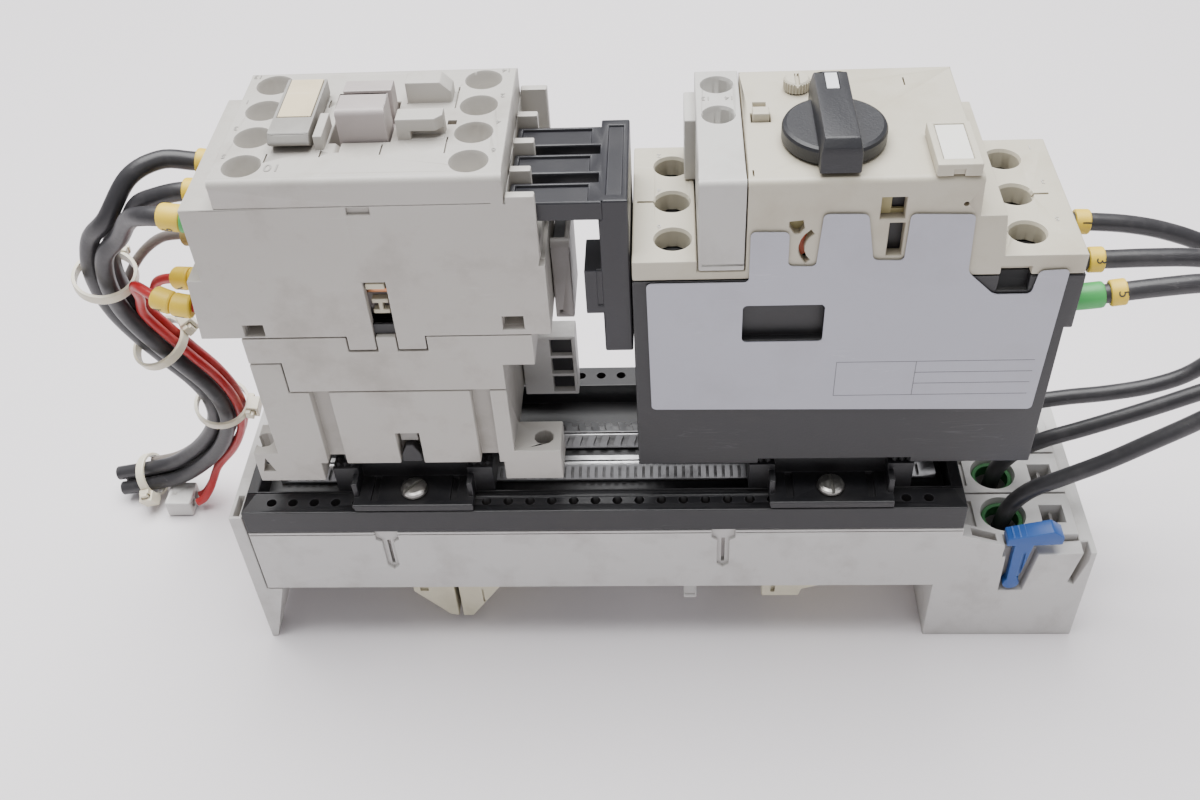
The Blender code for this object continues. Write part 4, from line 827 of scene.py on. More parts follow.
def bright_metal(name, colour, dark, roughness, scale=70.0):
    """A bare or plated metal: streaked, with dull dirt and painted shade in its corners and fine handling
    scratches.
    """
    material, tree, shader = paint(name)
    base = laid(tree, tone_drift, Colour=(*colour, 1), Spread=0.35, Scale=scale)
    dirt_and_shade_mask = laid(tree, smudges_and_corner_shade, Reach=0.002, Amount=0.7, Scale=scale * 2)
    lines = laid(tree, hairlines, Scale=60.0, Amount=0.6)
    feed(shader, {
        # The dark colour over the smudge and corner mask is dull dirt, with painted shade in the corners and
        # recesses.
        "Base Color": layered(tree, base, (dirt_and_shade_mask, dark), (lines, [min(1.0, c * 1.3) for c in colour])),
        "Metallic": ranged(tree, dirt_and_shade_mask, 1.0, 0.3), "Roughness": ranged(tree, dirt_and_shade_mask, roughness, 0.75),
        "Normal": grained(tree, 3500.0, 0.15, 0.00005)})
    return material


aluminium = bright_metal("aluminium", (0.60, 0.60, 0.61), (0.16, 0.15, 0.14), 0.36)
for track, edge_y, pitch in (("toothed_track_front", -11.0, TICK_PITCH),
                             ("toothed_track_rear", 1.0, TOOTH_PITCH)):
    low, high = span(track)
    number = int((high.x - low.x - 4) / pitch)
    if track.endswith("front"):
        tooth = block((-0.4, 0.4), (-1, 3.6), (-1.1, 1))
        groove = block((low.x - 1, high.x + 1), (high.y - 2.2, high.y - 1.6), (high.z - 0.8, high.z + 1))
        rows = [repeated(tooth, number, (low.x + 3, edge_y, high.z), (pitch, 0, 0))]
    else:
        near = prism([(-0.9, -1), (0.9, -1), (1.9, 3.1), (0.1, 3.1)], -1.3, 1, "Z")
        far = prism([(1.1, 5.0), (2.9, 5.0), (1.9, 9), (0.1, 9)], -1.3, 1, "Z")
        groove = block((low.x - 1, high.x + 1), (edge_y + 3.6, edge_y + 4.4), (high.z - 1.1, high.z + 1))
        rows = [repeated(tooth, number, (low.x + 3, edge_y, high.z), (pitch, 0, 0)) for tooth in (near, far)]
    dressed(track, aluminium, "aluminium", "strip", cut=[rows, [groove]], edge=0)


# Device sleds. Black mouldings that snap into the cover and carry each device on a short rail section.
# Small square studs roughen the tops of their wings.

for side, x in zip(("left", "right"), SCREWED_X):
    node = "rail_carrier_" + side
    low, high = span(node)
    middle = (low.x + high.x) / 2
    stud = turned([(0, 0.75), (0.25, 0.75), (1.0, -0.4), (0, -0.4)], 0, 0, sides=4)
    wing_top = high.z - 4.2
    studs = [repeated(stud.copy(), 3, (at, y, wing_top + 0.05), (1.75, 0, 0))
             for at in (low.x + 1.2, high.x - 4.7) for y in (-18.6, -16.8, 16.8, 18.6)]
    stud.free()
    notch = prism([(middle - 17.4, low.z - 1), (middle - 14.6, low.z - 1), (middle - 16, low.z + 2.6)], -28,
                  -22.5)
    relief_slots = [block((middle + at, middle + at + 1.6), (-25, -16.6), (low.z + 1.2, low.z + 4))
                    for at in (-11, 9.4)]
    dressed(node, black_plastic, "charcoal", cut=[[notch], relief_slots])
    piece(node + "_studs", black_plastic, "charcoal", joined(studs), edge=0)


# Sled screws. Zinc-plated slotted pan heads in the sleds' pockets.

zinc = bright_metal("zinc", (0.52, 0.51, 0.48), (0.12, 0.11, 0.09), 0.30, scale=400.0)


def slotted_screw(radius, height, slot_width, slot_depth, turn_degrees, x, y, z, shank=0.0, cross=False):
    """A pan head with a rounded edge and a slot, or a cross, on the vertical axis; z is its underside."""
    crown = [(radius * 0.93, z), (radius, z + 0.12 * height), (radius, z + 0.45 * height),
             (radius * 0.93, z + 0.72 * height), (radius * 0.75, z + 0.9 * height),
             (radius * 0.45, z + 0.98 * height), (0, z + height)]
    start = [(0, z - shank), (radius * 0.5, z - shank), (radius * 0.5, z)] if shank else [(0, z)]
    head = turned(start + crown, x, y, sides=48)
    top = (z + height - slot_depth, z + height + 1)
    reach = radius * (0.7 if cross else 1.2)
    cuts = []
    for extra in (0, 90) if cross else (0,):
        bar = block((-reach, reach), (-slot_width / 2, slot_width / 2), top)
        cuts.append([moved(bar, spin_at(x, y, 0, turn_degrees + extra))])
    return head, cuts


for side, degrees in (("left", 48), ("right", 97)):
    node = "carrier_screw_" + side
    low, high = span(node)
    head, cuts = slotted_screw(3.4, 2.0, 0.8, 1.0, degrees, (low.x + high.x) / 2, (low.y + high.y) / 2,
                               high.z - 2.0, shank=7.3)
    piece(node + "_head", zinc, "zinc", head, cut=cuts, edge=0.08, steps=1, stands_for=[node])


# Outgoing terminals. Three light-grey blocks in the head, each with a round wire funnel lined with a green
# ring and a square release hole with a sprung steel tongue in it.

RING_X = 90.0
RING_INNER, RING_OUTER = 4.35, 5.42
green_ring = moulded("green_ring", (0.035, 0.16, 0.05), (0.02, 0.05, 0.02), (0.10, 0.30, 0.12), roughness=0.5)
spring_steel = bright_metal("spring_steel", (0.42, 0.41, 0.40), (0.10, 0.09, 0.08), 0.4, scale=300.0)
for number in (1, 2, 3):
    node = f"outgoing_terminal_{number}"
    low, high = span(node)
    middle = (low.y + high.y) / 2
    funnel = turned([(0, high.z + 1), (6.2, high.z + 1), (5.5, high.z - 1.6), (5.5, high.z - 16.4),
                     (0, high.z - 16.4)], RING_X, middle, sides=48)
    mark_groove = block((80.2, 82.4), (middle - 4.6, middle + 4.6), (high.z - 1.0, high.z + 1))
    dressed(node, light_plastic, "pale_grey", "block", fine=[[funnel], [mark_groove]], edge=0.2)
    ring_low, ring_lip = high.z - 5.2, high.z - 1.9
    ring = turned([(RING_INNER, ring_low), (RING_INNER, ring_lip), (5.0, high.z - 1.5),
                   (RING_OUTER, ring_lip),
                   (RING_OUTER, ring_low)], RING_X, middle, sides=48)
    piece(f"funnel_ring_{number}", green_ring, "pale_grey", ring, edge=0.1, steps=1)
    piece(f"release_tongue_{number}", spring_steel, "pale_grey",
          prism([(100.0, high.z - 9), (100.9, high.z - 9), (103.4, high.z - 2.4), (102.6, high.z - 2.2)],
                middle - 2.2, middle + 2.2), edge=0.08, steps=1)


# Release lever. A bright blue moulded lever on the head's front face, ribbed for the finger.

blue_plastic = moulded("blue_plastic", (0.016, 0.085, 0.33), (0.01, 0.03, 0.10), (0.10, 0.22, 0.50),
                       roughness=0.35, dirt_and_shade_amount=0.4)
low, high = span("release_lever")
dressed("release_lever", blue_plastic, "blue", edge=0.4, steps=3, body="release_lever",
        fine=[[block((low.x + 4.6, low.x + 5.4), (-27.5, -26.5), (25, 35))]])
finger_ribs = repeated(prism([(-0.55, 0), (0.55, 0), (0.3, 0.75), (-0.3, 0.75)], -26.6, -22.8), 5,
                       (low.x + 1.6, 0, high.z - 3.2), (1.55, 0, 0.36))
piece("release_lever_ribs", blue_plastic, "blue", finger_ribs, edge=0.12, steps=1, body="release_lever")


# Busbar side. A cream hook and its sliding latch, a stepped contact foot with slots for its springs, and
# a plain fin between them.

cream_plastic = moulded("cream_plastic", (0.66, 0.62, 0.47), (0.20, 0.16, 0.10), (0.74, 0.70, 0.58), dirt_and_shade_amount=0.5)
low, high = span("busbar_hook")
dressed("busbar_hook", cream_plastic, "cream", edge=0.35, fine=[
    [block((low.x + 2.2, low.x + 4.6), (-23, -21.2), (14, 17)),
     block((low.x + 6.8, high.x + 1), (-23, -21.4), (16.6, 17.2))]])
low, high = span("busbar_latch")
dressed("busbar_latch", cream_plastic, "cream", edge=0.35, body="busbar_latch", fine=[
    [block((low.x - 1, high.x - 2.6), (-23, -21.4), (15.8, 16.4)),
     block((low.x + 6.4, low.x + 7.0), (-23, -21.4), (9, 14.6))]])
low, high = span("contact_foot")
spring_slots = repeated(
    block((-0.4, 0.4), (-1, 1.6), (-2.2, 2.2)), 4, (low.x + 12.2, -22, high.z - 2.6), (4.2, 0, 0))
dressed("contact_foot", cream_plastic, "cream", edge=0.35, fine=[
    [spring_slots, block((low.x + 2.4, low.x + 3.6), (-23, -21), (13, 19))]])
dressed("centre_fin", light_plastic, "pale_grey", cut=[[block((6.0, 8.7), (-23, -21.6), (12, 19))]])


# Contactor housing. Warm light-grey mouldings: the rail base with its lugs, the magnet frame, and above
# them the contact housing, whose front face runs up without a seam into the terminal plate.

POLE_Y = (-16.5, -5.5, 5.5, 16.5)
POLE_PITCH = 11
PLATE_TOP = 150.7
HOLE_X = (-86.4, -38.5)
HOLE_RADIUS = 3.9
WELL_DEPTH = 14.8
FRONT_Y = -22.5
housing_grey = moulded("housing_grey", (0.49, 0.47, 0.435), (0.17, 0.135, 0.095), (0.62, 0.61, 0.585),
                       roughness=0.46, drift=0.14, dirt_and_shade_amount=0.62, scale=38.0)
# shaded_grey is the housing plastic darkened: painted shade for the raised marks, the latch face and the tag
# holder.
shaded_grey = moulded("shaded_grey", (0.30, 0.29, 0.27), (0.12, 0.10, 0.08), (0.42, 0.41, 0.39), dirt_and_shade_amount=0.7)


def edge_rounder(radius, y, z, low, high):
    """A cutter that rounds one long edge at the top of a face: y and z are the edge's own."""
    out = 1 if y > 0 else -1
    arc = [(y - out * radius + out * radius * math.sin(turn), z - radius + radius * math.cos(turn))
           for turn in [math.radians(9 * i) for i in range(11)]]
    return prism(arc + [(y + out * 1.0, z - radius), (y + out * 1.0, z + 1.0), (y - out * radius, z + 1.0)],
                 low, high, "X")


def screw_wells(x, rows, radius, top, depth, flare=0.35):
    """Round wells with a slightly wider mouth, down to the heads of the clamp screws."""
    return [turned([(0, top + 1), (radius + flare, top + 1), (radius + flare, top), (radius, top - 0.8),
                    (radius - 0.15, top - depth), (0, top - depth)], x, y, sides=48) for y in rows]


front_low, front_high = span("front_cover")
seam_fill = block((front_low.x, front_high.x), (FRONT_Y, -FRONT_Y),
                  (span("contact_housing")[1].z - 1.9, front_low.z + 0.3))
carrier_opening = block((-69.2, -56.2), (-8.3, 8.0), (front_low.z - 1.5, PLATE_TOP + 1))
guide_chamfers = [prism([(-46.8, -8.6), (-44, -8.6), (-44, -5.8)], PLATE_TOP + 0.3, 157, "Z"),
                  prism([(-47.6, 156.5), (-44, 156.5), (-44, 152.8)], 6, 13)]
post_chamfer = prism([(-69.4, 156), (-69.4, 152.4), (-66.6, 149.5), (-66.6, 156)], -12, -7.2)
grooves = [block((x - 0.2, x + 0.2), (y, y + length), (PLATE_TOP - 0.7, PLATE_TOP + 1))
           for x, y, length in ((-81.9, -15.4, 3.4), (-70.4, -13.8, 2.6), (-57.6, -13.4, 4.0),
                                (-43.9, -13.4, 6.4),
                                (-43.6, 4.5, 9.0), (-72.0, 6.0, 3.2))]
grooves += [block((-44.6, -42.6), (-2.2, -0.4), (PLATE_TOP - 1.4, PLATE_TOP + 1))]
clip_windows = [block((-94.1, -89.8), (-23, -13), (108.7, 112.0)),
                block((-34.6, -30.2), (-23, -13), (109.8, 113.4))]
corner_nick = prism([(-25.4, 127.6), (-23, 127.6), (-23, 131.6), (-24.6, 131.6)], -23.5, -20.5)
parting_line = block((-93.6, -34), (-23, -22.35), (144.0, 144.25))
piece("contact_housing_moulding", housing_grey, "warm_grey", cad_shape("contact_housing"),
      add=[seam_fill, cad_shape("front_cover")],
      cut=[[carrier_opening],
           [edge_rounder(1.5, y, PLATE_TOP, front_low.x - 1, front_high.x + 1) for y in (FRONT_Y, -FRONT_Y)],
           guide_chamfers, [post_chamfer]],
      edge=0.28,
      fine=[[well for x in HOLE_X for well in screw_wells(x, POLE_Y, HOLE_RADIUS, PLATE_TOP, WELL_DEPTH)],
            grooves, clip_windows, [corner_nick], [parting_line]],
      stands_for=["contact_housing", "front_cover"])
for name, x, y, z in (("clip_shadow_left", (-94.0, -89.9), (-14.4, -13.2), (108.8, 111.9)),
                      ("clip_shadow_right", (-34.5, -30.3), (-14.4, -13.2), (109.9, 113.3))):
    piece(name, black_plastic, "warm_grey", block(x, y, z), edge=0.1, steps=1)
dressed("magnet_frame", housing_grey, "warm_grey", edge=0.22)
low, high = span("contactor_base")
vent = prism([(low.x + 1.3, low.z + 3.6), (low.x + 4.6, low.z + 3.6), (low.x + 2.7, low.z + 8.6)], -23, -19)
dressed("contactor_base", housing_grey, "warm_grey", edge=0.35, fine=[
    [vent], [block((-40.3, -39.9), (-23, -22.1), (68, 91)),
             block((-57.0, -55.6), (-23, -22.0), (61.8, 62.6))]])
piece("rail_latch", black_plastic, "charcoal", prism(
    [(-64.4, 66.6), (-59.6, 66.6), (-59.6, 69.0), (-61.2, 72.4), (-62.8, 72.4), (-64.4, 69.0)], -22.0, -19.2),
    edge=0.3)
# The latch's recessed face takes the shaded grey: painted shade.
piece("rail_latch_face", shaded_grey, "warm_grey", block((-64.2, -59.8), (-20.8, -18.8), (72.8, 76.2)),
      edge=0.3)


# Terminal screws. Zinc-plated cross-slotted heads at the bottom of the contactor's eight wells; each was
# left at its own turn.

SCREW_TOP = 138.2
CLAMP_HEAD = 1.8                            # height of a head
clamp_zinc = bright_metal("clamp_zinc", (0.36, 0.36, 0.34), (0.08, 0.075, 0.06), 0.36, scale=350.0)


def clamp_screw(radius):
    """One clamp screw about the axis, its head's top at z = 0, with a cross in it."""
    head, cuts = slotted_screw(radius, CLAMP_HEAD, 0.9, 1.1, 0, 0, 0, -CLAMP_HEAD, cross=True)
    made = plain_object("clamp_screw", head)
    shaped(made, "DIFFERENCE", cuts)
    return taken(made)


def screw_row(name, radius, count, place, pitch, seed):
    """Clamp screws in a row across the device, each at its own turn."""
    piece(name, clamp_zinc, "zinc",
          repeated(clamp_screw(radius), count, place, (0, pitch, 0), loose_turn=3.1, seed=seed), edge=0)


for number, x in enumerate(HOLE_X):
    screw_row(f"contactor_screws_{number + 1}", 3.35, 4, (x, POLE_Y[0], SCREW_TOP), POLE_PITCH, number + 4)


# Terminal marks. Low raised figures beside each well, moulded with the housing in its own plastic; they take
# the darker shaded grey, which is painted shade.


def raised_marks(name, finish, slot, marks, size, z):
    """Figures that stand a little proud of a flat top face: each has a text, a place and a turn."""
    return piece(name, finish, slot, joined([
        moved(lettering(text, size, 0.24, 3), spin_at(x, y, z, degrees)) for text, x, y, degrees in marks]),
        edge=0)


raised_marks("contactor_marks", shaded_grey, "warm_grey",
             [(text, x, y + 3.9, 180) for x, texts in ((-91.1, ("5", "3", "1", "13")),
                                                       (-33.6, ("6", "4", "2", "14")))
              for y, text in zip(POLE_Y, texts)], 2.2, PLATE_TOP)
raised_marks("contactor_type_mark", shaded_grey, "warm_grey", [("10", -79.6, -17.4, 180)], 3.8, PLATE_TOP)


# Tag holder. A grey clip-on holder between the wells with a plain cream paper label under its lip.

label_cream = moulded("label_cream", (0.66, 0.56, 0.37), (0.35, 0.28, 0.18), (0.80, 0.76, 0.66),
                      roughness=0.6)
tag_low, tag_high = span("contactor_tag")
# The holder takes the shaded grey: painted shade.
piece("contactor_tag_holder", shaded_grey, "cream", prism(
    [(tag_low.y + 2.2, tag_low.z), (tag_high.y, tag_low.z), (tag_high.y, tag_high.z),
     (tag_low.y + 1.4, tag_high.z),
     (tag_low.y, tag_high.z - 1.6), (tag_low.y, tag_low.z + 1.6)], tag_low.x, tag_high.x, "X"),
      cut=[[block((tag_low.x + 0.7, tag_high.x - 0.7), (-4.2, tag_high.y + 1),
                  (tag_high.z - 0.5, tag_high.z + 1))],
           [block((tag_low.x + 1.2, tag_high.x - 1.2), (tag_low.y + 0.2, tag_low.y + 1.2),
                  (tag_high.z - 0.35, 160))]],
      edge=0.3, stands_for=["contactor_tag"])
piece("contactor_tag_label", label_cream, "cream",
      block((tag_low.x + 0.8, tag_high.x - 0.8), (-4.1, tag_high.y - 0.1),
            (tag_high.z - 0.48, tag_high.z + 0.05)),
      edge=0.1, steps=1)


# Contact carrier. One pinkish-grey moulding: the part inside that lifts the bridges, and the two rounded
# blocks that stand out of the cover and go down when the contactor pulls in. A flag on it shows in the
# front window.

carrier_grey = moulded("carrier_grey", (0.43, 0.385, 0.375), (0.17, 0.14, 0.12), (0.60, 0.56, 0.55), dirt_and_shade_amount=0.4)
top = span("contact_carrier")[1].z
chamfers = [prism([(x, top + 1), (x, top - 0.9), (x + across, top + 1)], -9, 8)
            for x, across in ((-67.5, 1.4), (-56.0, -1.4))]
dressed("contact_carrier", carrier_grey, "pink_grey", body="contact_carrier",
        cut=[[edge_rounder(1.3, -8.0, top, -70, -54)], chamfers])
piece("position_flag", cream_plastic, "pink_grey", block((-64.0, -60.2), (-20.4, -18.6), (113.4, 114.6)),
      add=[block((-62.6, -61.6), (-20.4, -18.6), (114.0, 116.8)),
           block((-64.0, -60.2), (-20.4, -18.6), (116.4, 117.6))],
      edge=0.15, steps=1, body="contact_carrier")
piece("window_rib", cream_plastic, "warm_grey", block((-64.3, -60.0), (-21.8, -20.2), (121.4, 123.0)),
      edge=0.25)
# A black block in the gap below the flag in the front window: painted shadow inside the housing.
piece("window_shadow_backing", black_plastic, "warm_grey", block((-64.6, -59.6), (-21.4, -20.7), (108.4, 111.0)),
      edge=0.1)


# Coil terminal plug and auxiliary connector. Two grey moulded plastic bodies on the contactor's right
# side, pushed onto its terminals. Black blocks in their openings are painted shadow in their contact
# chambers.

plug_grey = moulded("plug_grey", (0.215, 0.20, 0.19), (0.10, 0.085, 0.07), (0.36, 0.34, 0.32), dirt_and_shade_amount=0.6)
low, high = span("coil_terminal_plug")
piece("coil_plug_moulding", plug_grey, "pale_grey", cad_shape("coil_terminal_plug"),
      cut=[[edge_rounder(1.8, low.y, high.z, low.x - 1, high.x + 1)],
           [rod(low.x + 1.3, low.z + 2.0, 0.45, low.y - 1, low.y + 3, "Y")]],
      edge=0.35, stands_for=["coil_terminal_plug"])
dressed("auxiliary_connector", light_plastic, "pale_grey")
# A black block in the connector's opening: painted shadow in its contact chamber.
piece("auxiliary_connector_chamber_shadow", black_plastic, "pale_grey",
      block((-27.9, -22.8), (6.4, 8.8), (65.0, 82.4)),
      edge=0.1, steps=1)
# A black block in the plug's opening: painted shadow in its contact chamber.
piece("coil_plug_chamber_shadow", black_plastic, "pale_grey", block((-23.3, -20.5), (-9.8, 1.8), (121.9, 124.6)),
      edge=0.2, steps=1)


# Link module. Three black insulated bars from the breaker's clamps to the contactor's, with one leg down
# between the two devices.

link_black = moulded("link_black", (0.013, 0.013, 0.017), (0.035, 0.033, 0.032), (0.07, 0.07, 0.085),
                     roughness=0.36)
low, high = span("link_module")
bar_hollows = [block((low.x + 1.2, -14.2), (y - 2.9, y + 2.9),
                     (high.z - 0.7, high.z + 1)) for y in POLE_Y[:3]]
dressed("link_module", link_black, "charcoal", edge=0.4, cut=[
    bar_hollows, [block((high.x - 4.6, high.x - 1.4), (-17.5, 9.5), (high.z - 0.5, high.z + 1))],
    [block((-13.2, -12.0), (-22, -19.6), (low.z + 13.4, high.z - 6))]])


# Inside the contactor. Laminated steel magnet and armature, the coil on its bobbin, the coiled return
# spring, and four copper contact bridges.

dull_steel = bright_metal("dull_steel", (0.34, 0.33, 0.32), (0.09, 0.08, 0.07), 0.42)
bridge_copper = bright_metal("bridge_copper", (0.62, 0.30, 0.17), (0.15, 0.08, 0.05), 0.34)
coil_black = moulded("coil_black", (0.035, 0.033, 0.032), (0.06, 0.055, 0.05), (0.10, 0.10, 0.10),
                     roughness=0.5)
for node, body in (("magnet_core", "adapter"), ("armature", "contact_carrier")):
    low, high = span(node)
    sheets = repeated(block((low.x - 0.1, high.x + 0.1), (-0.12, 0.12), (high.z - 0.4, high.z + 1)), 15,
                      (0, low.y + 1.0, 0), (0, 1.0, 0))
    dressed(node, dull_steel, "steel", "laminations", cut=[[sheets]], edge=0.1, steps=1, body=body)
dressed("coil", coil_black, "charcoal", "bobbin", edge=0.6)
for number in (1, 2, 3, 4):
    node = f"moving_bridge_{number}"
    low, high = span(node)
    buttons = [rod(x, (low.y + high.y) / 2, 1.6, low.z - 0.6, low.z + 0.4) for x in (low.x + 2.4,
                                                                                     high.x - 2.4)]
    dressed(node, bridge_copper, "copper", "bar", add=buttons, edge=0.15, body="contact_carrier")
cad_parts["return_spring"].data.materials[0] = dull_steel


# Breaker base. The black moulding that holds the clamps and the trip unit, its lower corners cut back,
# with a wide rounded window through the label's face.

BREAKER_Y = (-14.2, 0.0, 14.2)
dressed("breaker_base", black_plastic, "charcoal", edge=0.4)
piece("window_tower", black_plastic, "charcoal", block((31.4, 36.2), (-19.8, -17.2), (106.4, 112.6)),
      add=[block((20.4, 24.6), (-19.8, -17.2), (106.4, 109.4)),
           block((19.4, 36.4), (-18.0, -17.0), (106.0, 115.6)),
           block((32.6, 35.2), (-19.8, -17.2), (112.0, 114.6))],
      edge=0.25)


# Breaker cover. A beige moulding, a little yellowed: the raised middle with the knob, dial and button,
# and a lower ledge at each end with the wells of three clamp screws.

COVER_TOP = 148.0
LEDGE_TOP = 128.0
COVER_FRONT = -22.5
COVER_SIDES = (19.1, 66.6)                  # of the raised middle
LEDGE_WELLS = (3.6, 80.0)
LEDGE_WELL_RADIUS, LEDGE_WELL_DEPTH = 3.95, 5.4
beige_plastic = moulded("beige_plastic", (0.545, 0.51, 0.415), (0.26, 0.20, 0.11), (0.66, 0.63, 0.55),
                        roughness=0.44, drift=0.16, dirt_and_shade_amount=0.5, scale=34.0)
side_slots = [block(x, (-0.35, 0.35), (LEDGE_TOP - 1.2, LEDGE_TOP + 3))
              for x in ((LEDGE_WELLS[0] - 8, LEDGE_WELLS[0] - 3), (LEDGE_WELLS[1] + 3, LEDGE_WELLS[1] + 7.5))]
sealing_holes = [rod(63.6, 141.5, 0.6, -23.5, -20, "Y", sides=20),
                 block((20.0, 20.4), (-20.5, -18.2), (COVER_TOP - 1, COVER_TOP + 1)),
                 block((55.2, 55.6), (14.0, 17.4), (COVER_TOP - 1, COVER_TOP + 1))]
dressed("breaker_cover", beige_plastic, "beige", edge=0.35,
        cut=[[edge_rounder(1.3, y, COVER_TOP, COVER_SIDES[0] - 1, COVER_SIDES[1] + 1)
              for y in (COVER_FRONT, -COVER_FRONT)]],
        fine=[[well for x in LEDGE_WELLS for well in screw_wells(x, BREAKER_Y, LEDGE_WELL_RADIUS, LEDGE_TOP,
                                                                 LEDGE_WELL_DEPTH)],
              side_slots, sealing_holes])
raised_marks("breaker_marks", housing_grey, "beige",
             [(text, x, y + 4.6, 180) for x, texts in ((0.6, ("6", "4", "2")), (87.2, ("5", "3", "1")))
              for y, text in zip(BREAKER_Y, texts)], 2.2, LEDGE_TOP)


# Breaker clamp screws. The same zinc-plated cross-slotted heads, deep in the ledges' wells, where each
# presses one wire into its clamp.

BREAKER_SCREW_TOP = 118.4
for number, x in enumerate(LEDGE_WELLS):
    screw_row(f"breaker_screws_{number + 1}", 3.3, 3, (x, BREAKER_Y[0], BREAKER_SCREW_TOP), BREAKER_Y[2],
              number + 11)


# What shows through the cover's openings: the current scale's yellowed drum, an orange pointer behind the
# curved slot, and the yellow and black ends of the trip indicator.

aged_white = moulded("aged_white", (0.40, 0.35, 0.17), (0.16, 0.12, 0.05), (0.55, 0.50, 0.30), roughness=0.5)
orange_plastic = moulded("orange_plastic", (0.52, 0.085, 0.02), (0.14, 0.03, 0.01), (0.6, 0.25, 0.12),
                         roughness=0.4)
piece("scale_drum", aged_white, "beige", rod(29.6, 135.4, 3.2, -20.4, -19.5, "Y", sides=40), edge=0.1,
      steps=1)
pointer_arc = [(35.7 + radius * math.cos(math.radians(a)), 131.0 + radius * math.sin(math.radians(a)))
               for radius, sweep in ((6.0, range(150, 215, 8)), (3.9, range(214, 149, -8))) for a in sweep]
piece("scale_pointer", orange_plastic, "beige", prism(pointer_arc, -20.6, -19.6), edge=0.1, steps=1)
piece("indicator_end", aged_white, "beige", block((46.2, 48.8), (-20.6, -19.5), (138.2, 143.2)),
      add=[block((46.2, 51.6), (-20.2, -19.5), (138.0, 139.2))], edge=0.1, steps=1)
piece("indicator_dark", black_plastic, "beige", block((46.2, 53.0), (-19.3, -18.9), (128.0, 143.6)),
      edge=0.1, steps=1)


# Auxiliary contact block. A light-grey moulding snapped into the left of the cover, with two clamp wells
# and a low tab behind.

aux_grey = moulded("aux_grey", (0.54, 0.53, 0.505), (0.20, 0.17, 0.13), (0.66, 0.65, 0.62), dirt_and_shade_amount=0.45)
low, high = span("auxiliary_block")
aux_x = (9.0 + high.x) / 2
AUX_WELLS_Y = (16.3, 3.6)
dressed("auxiliary_block", aux_grey, "pale_grey",
        cut=[[edge_rounder(1.3, COVER_FRONT, COVER_TOP, low.x - 1, high.x + 1)],
             screw_wells(aux_x, AUX_WELLS_Y, 3.45, COVER_TOP, 8.2),
             [block((low.x + 3.2, high.x + 1), (-23, -22.2), (126.6, 127.0))]])
screw_row("auxiliary_screws", 2.9, 2, (aux_x, AUX_WELLS_Y[1], COVER_TOP - 5.8), 12.7, 21)
# The figures take the shaded grey: painted shade.
raised_marks("auxiliary_marks", shaded_grey, "pale_grey",
             [("13", aux_x - 2.6, 10.4, 180), ("14", aux_x + 2.6, 10.4, 180)], 2.2, COVER_TOP)


# Rotary knob. A charcoal disc with a long bevelled handle across it and a white mark set into one end.

knob_black = moulded("knob_black", (0.015, 0.0155, 0.019), (0.04, 0.039, 0.038), (0.075, 0.075, 0.085),
                     roughness=0.42, grain=0.25)
low, high = span("knob")
kx, ky = 37.6, -7.5                         # the knob's axis
seat = COVER_TOP + 0.3
disc = turned([(0, low.z), (3.0, low.z), (3.0, seat), (10.6, seat), (11.0, seat + 0.5),
               (11.0, seat + 3.0), (10.7, seat + 3.6), (10.0, seat + 3.95), (0, seat + 3.95)], kx, ky,
               sides=96)
handle = prism([(ky - 14, seat + 0.5), (ky + 14, seat + 0.5), (ky + 14, high.z - 1.2), (ky + 13.2, high.z),
                (ky - 12.6, high.z), (ky - 14, high.z - 1.8)], kx - 4.25, kx + 4.25, "X")
flutes = [prism([(kx + s * 4.4, seat + 4.2), (kx + s * 4.4, high.z + 1), (kx + s * 3.3, high.z + 1)],
                ky - 15, ky + 15) for s in (-1, 1)]
piece("knob_moulding", knob_black, "charcoal", disc, add=[handle],
      cut=[flutes, [block((kx - 1.35, kx + 1.35), (ky + 6.4, ky + 13.0), (high.z - 0.35, high.z + 1))]],
      edge=0.35, steps=3, body="knob", stands_for=["knob"])
white_print = moulded("white_print", (0.75, 0.77, 0.80), (0.4, 0.38, 0.35), (0.8, 0.8, 0.8), roughness=0.5)
piece("knob_mark", white_print, "charcoal",
      block((kx - 1.3, kx + 1.3), (ky + 6.5, ky + 12.9), (high.z - 0.34, high.z - 0.05)),
      edge=0.08, steps=1, body="knob")


# Test button and current dial. The button is a small square push piece; the dial's rim is ribbed and its
# top has a slot for a screwdriver.

dressed("test_button", beige_plastic, "beige", edge=0.25, body="test_button")
low, high = span("current_dial")
dx, dy = 31.5, 13.5                         # the dial's axis
piece("current_dial_moulding", beige_plastic, "beige",
      turned([(0, low.z), (1.5, low.z), (1.5, 148.3), (2.75, 148.3), (2.75, high.z - 0.3),
              (2.4, high.z), (0, high.z)], dx, dy, sides=64),
      cut=[[block((dx - 0.5, dx + 0.5), (dy - 4, dy + 4), (high.z - 1.0, high.z + 1))]],
      edge=0.1, steps=1, body="current_dial", stands_for=["current_dial"])
rib = prism([(2.6, -0.16), (2.98, -0.12), (2.98, 0.12), (2.6, 0.16)], 148.35, high.z - 0.4, "Z")
ribs = moved(repeated(rib, 26, (0, 0, 0), (0, 0, 0), turn=2 * math.pi / 26), spin_at(dx, dy, 0, 0))
piece("current_dial_ribs", beige_plastic, "beige", ribs, edge=0, body="current_dial")


# Breaker tag. A beige clip-on frame on the front right of the cover with a plain white label in it.

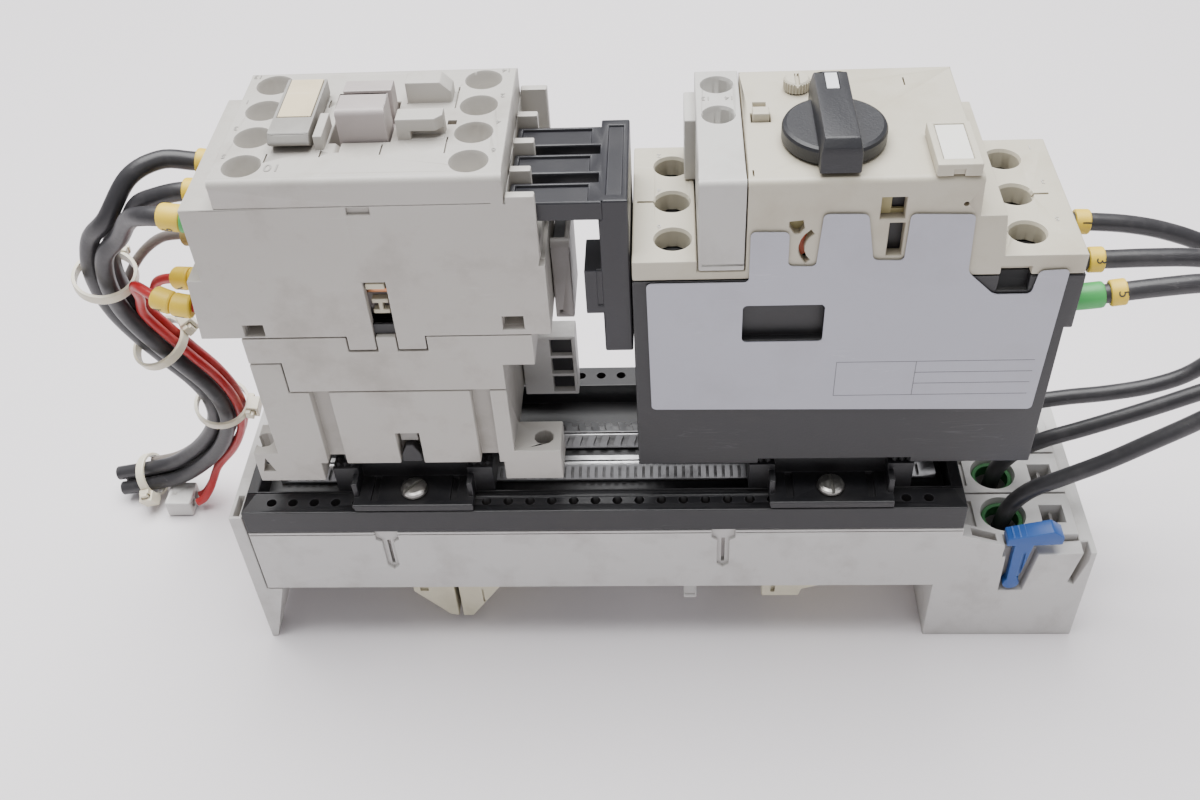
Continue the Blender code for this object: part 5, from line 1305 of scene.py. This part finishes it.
low, high = span("breaker_tag")
piece("breaker_tag_frame", beige_plastic, "pale_grey",
      block((low.x, high.x), (low.y, high.y), (low.z, high.z)),
      cut=[[block((low.x + 1.5, high.x - 1.5), (low.y + 2.2, high.y - 0.9), (high.z - 0.6, 160))],
           [block((low.x + 3.4, high.x - 3.4), (low.y - 1, low.y + 0.5), (low.z - 1, high.z - 1.2))]],
      edge=0.3, stands_for=["breaker_tag"])
paper = moulded("paper", (0.78, 0.77, 0.72), (0.5, 0.46, 0.38), (0.82, 0.81, 0.79), roughness=0.6, dirt_and_shade_amount=0.2)
piece("breaker_tag_label", paper, "pale_grey",
      block((low.x + 1.6, high.x - 1.6), (low.y + 2.3, high.y - 1.0), (high.z - 0.58, high.z - 0.2)),
      edge=0.08, steps=1)


# Rating label. A thin silver foil label over the front, cut round the cover's openings, its corners
# rounded and its wording left out. It is marked off by thin printed rules.

foil, tree, shader = paint("silver_foil")
foil_tone = laid(tree, tone_drift, Colour=(0.40, 0.405, 0.455, 1), Spread=0.12, Scale=30.0)
foil_dirt_and_shade = laid(tree, smudges_and_corner_shade, Reach=0.0015, Amount=0.35, Scale=60.0)
foil_lines = laid(tree, hairlines, Scale=50.0, Amount=0.5)
feed(shader, {
    # The dark colour over the smudge and corner mask is dirt, with painted shade in the corners and recesses.
    "Base Color": layered(tree, foil_tone, (foil_dirt_and_shade, (0.22, 0.205, 0.19)),
                          (foil_lines, (0.58, 0.58, 0.62))),
    "Normal": grained(tree, 800.0, 0.05, 0.0001), "Metallic": 0.25, "Roughness": 0.36})

label = cad_shape("rating_label")
upright_edges = [edge for edge in label.edges
                 if abs((edge.verts[0].co - edge.verts[1].co).normalized().y) > 0.99]
bmesh.ops.bevel(label, geom=upright_edges, offset=1.1 * MM, segments=5, profile=0.5, affect="EDGES",
                clamp_overlap=True)
piece("rating_label_foil", foil, "silver_label", label, edge=0, stands_for=["rating_label"])
face = span("rating_label")[0].y
rule_y = (face - 0.02, face + 0.03)
rules = [block((40.5, 85.0), rule_y, (z, z + 0.18)) for z in (88.4, 98.8)]
rules += [block((x, x + 0.18), rule_y, (88.4, 98.8)) for x in (40.5, 58.5)]
rules += [block((58.5, 85.0), rule_y, (92.0, 92.18)), block((58.5, 85.0), rule_y, (95.4, 95.58))]
print_grey = moulded("print_grey", (0.14, 0.14, 0.155), (0.1, 0.1, 0.1), (0.3, 0.3, 0.3), roughness=0.5)
piece("rating_label_rules", print_grey, "silver_label", joined(rules), edge=0)


# Inside the breaker. The black moulded slide that the knob's cam pushes, and three trip coils wound from
# copper wire.

dressed("switch_slide", black_plastic, "charcoal", edge=0.4, body="switch_slide")
for number, y in enumerate(BREAKER_Y):
    node = f"trip_coil_{number + 1}"
    low, high = span(node)
    reach = (high.x - low.x) / 2
    turns = repeated(turned([(reach - 0.35, -0.3), (reach + 0.3, -0.3), (reach + 0.3, 0.3),
                             (reach - 0.35, 0.3)],
                            (low.x + high.x) / 2, (low.y + high.y) / 2), 14, (0, 0, low.z + 1.4), (0, 0, 1.5))
    dressed(node, bridge_copper, "copper", "winding", cut=[[turns]], edge=0)
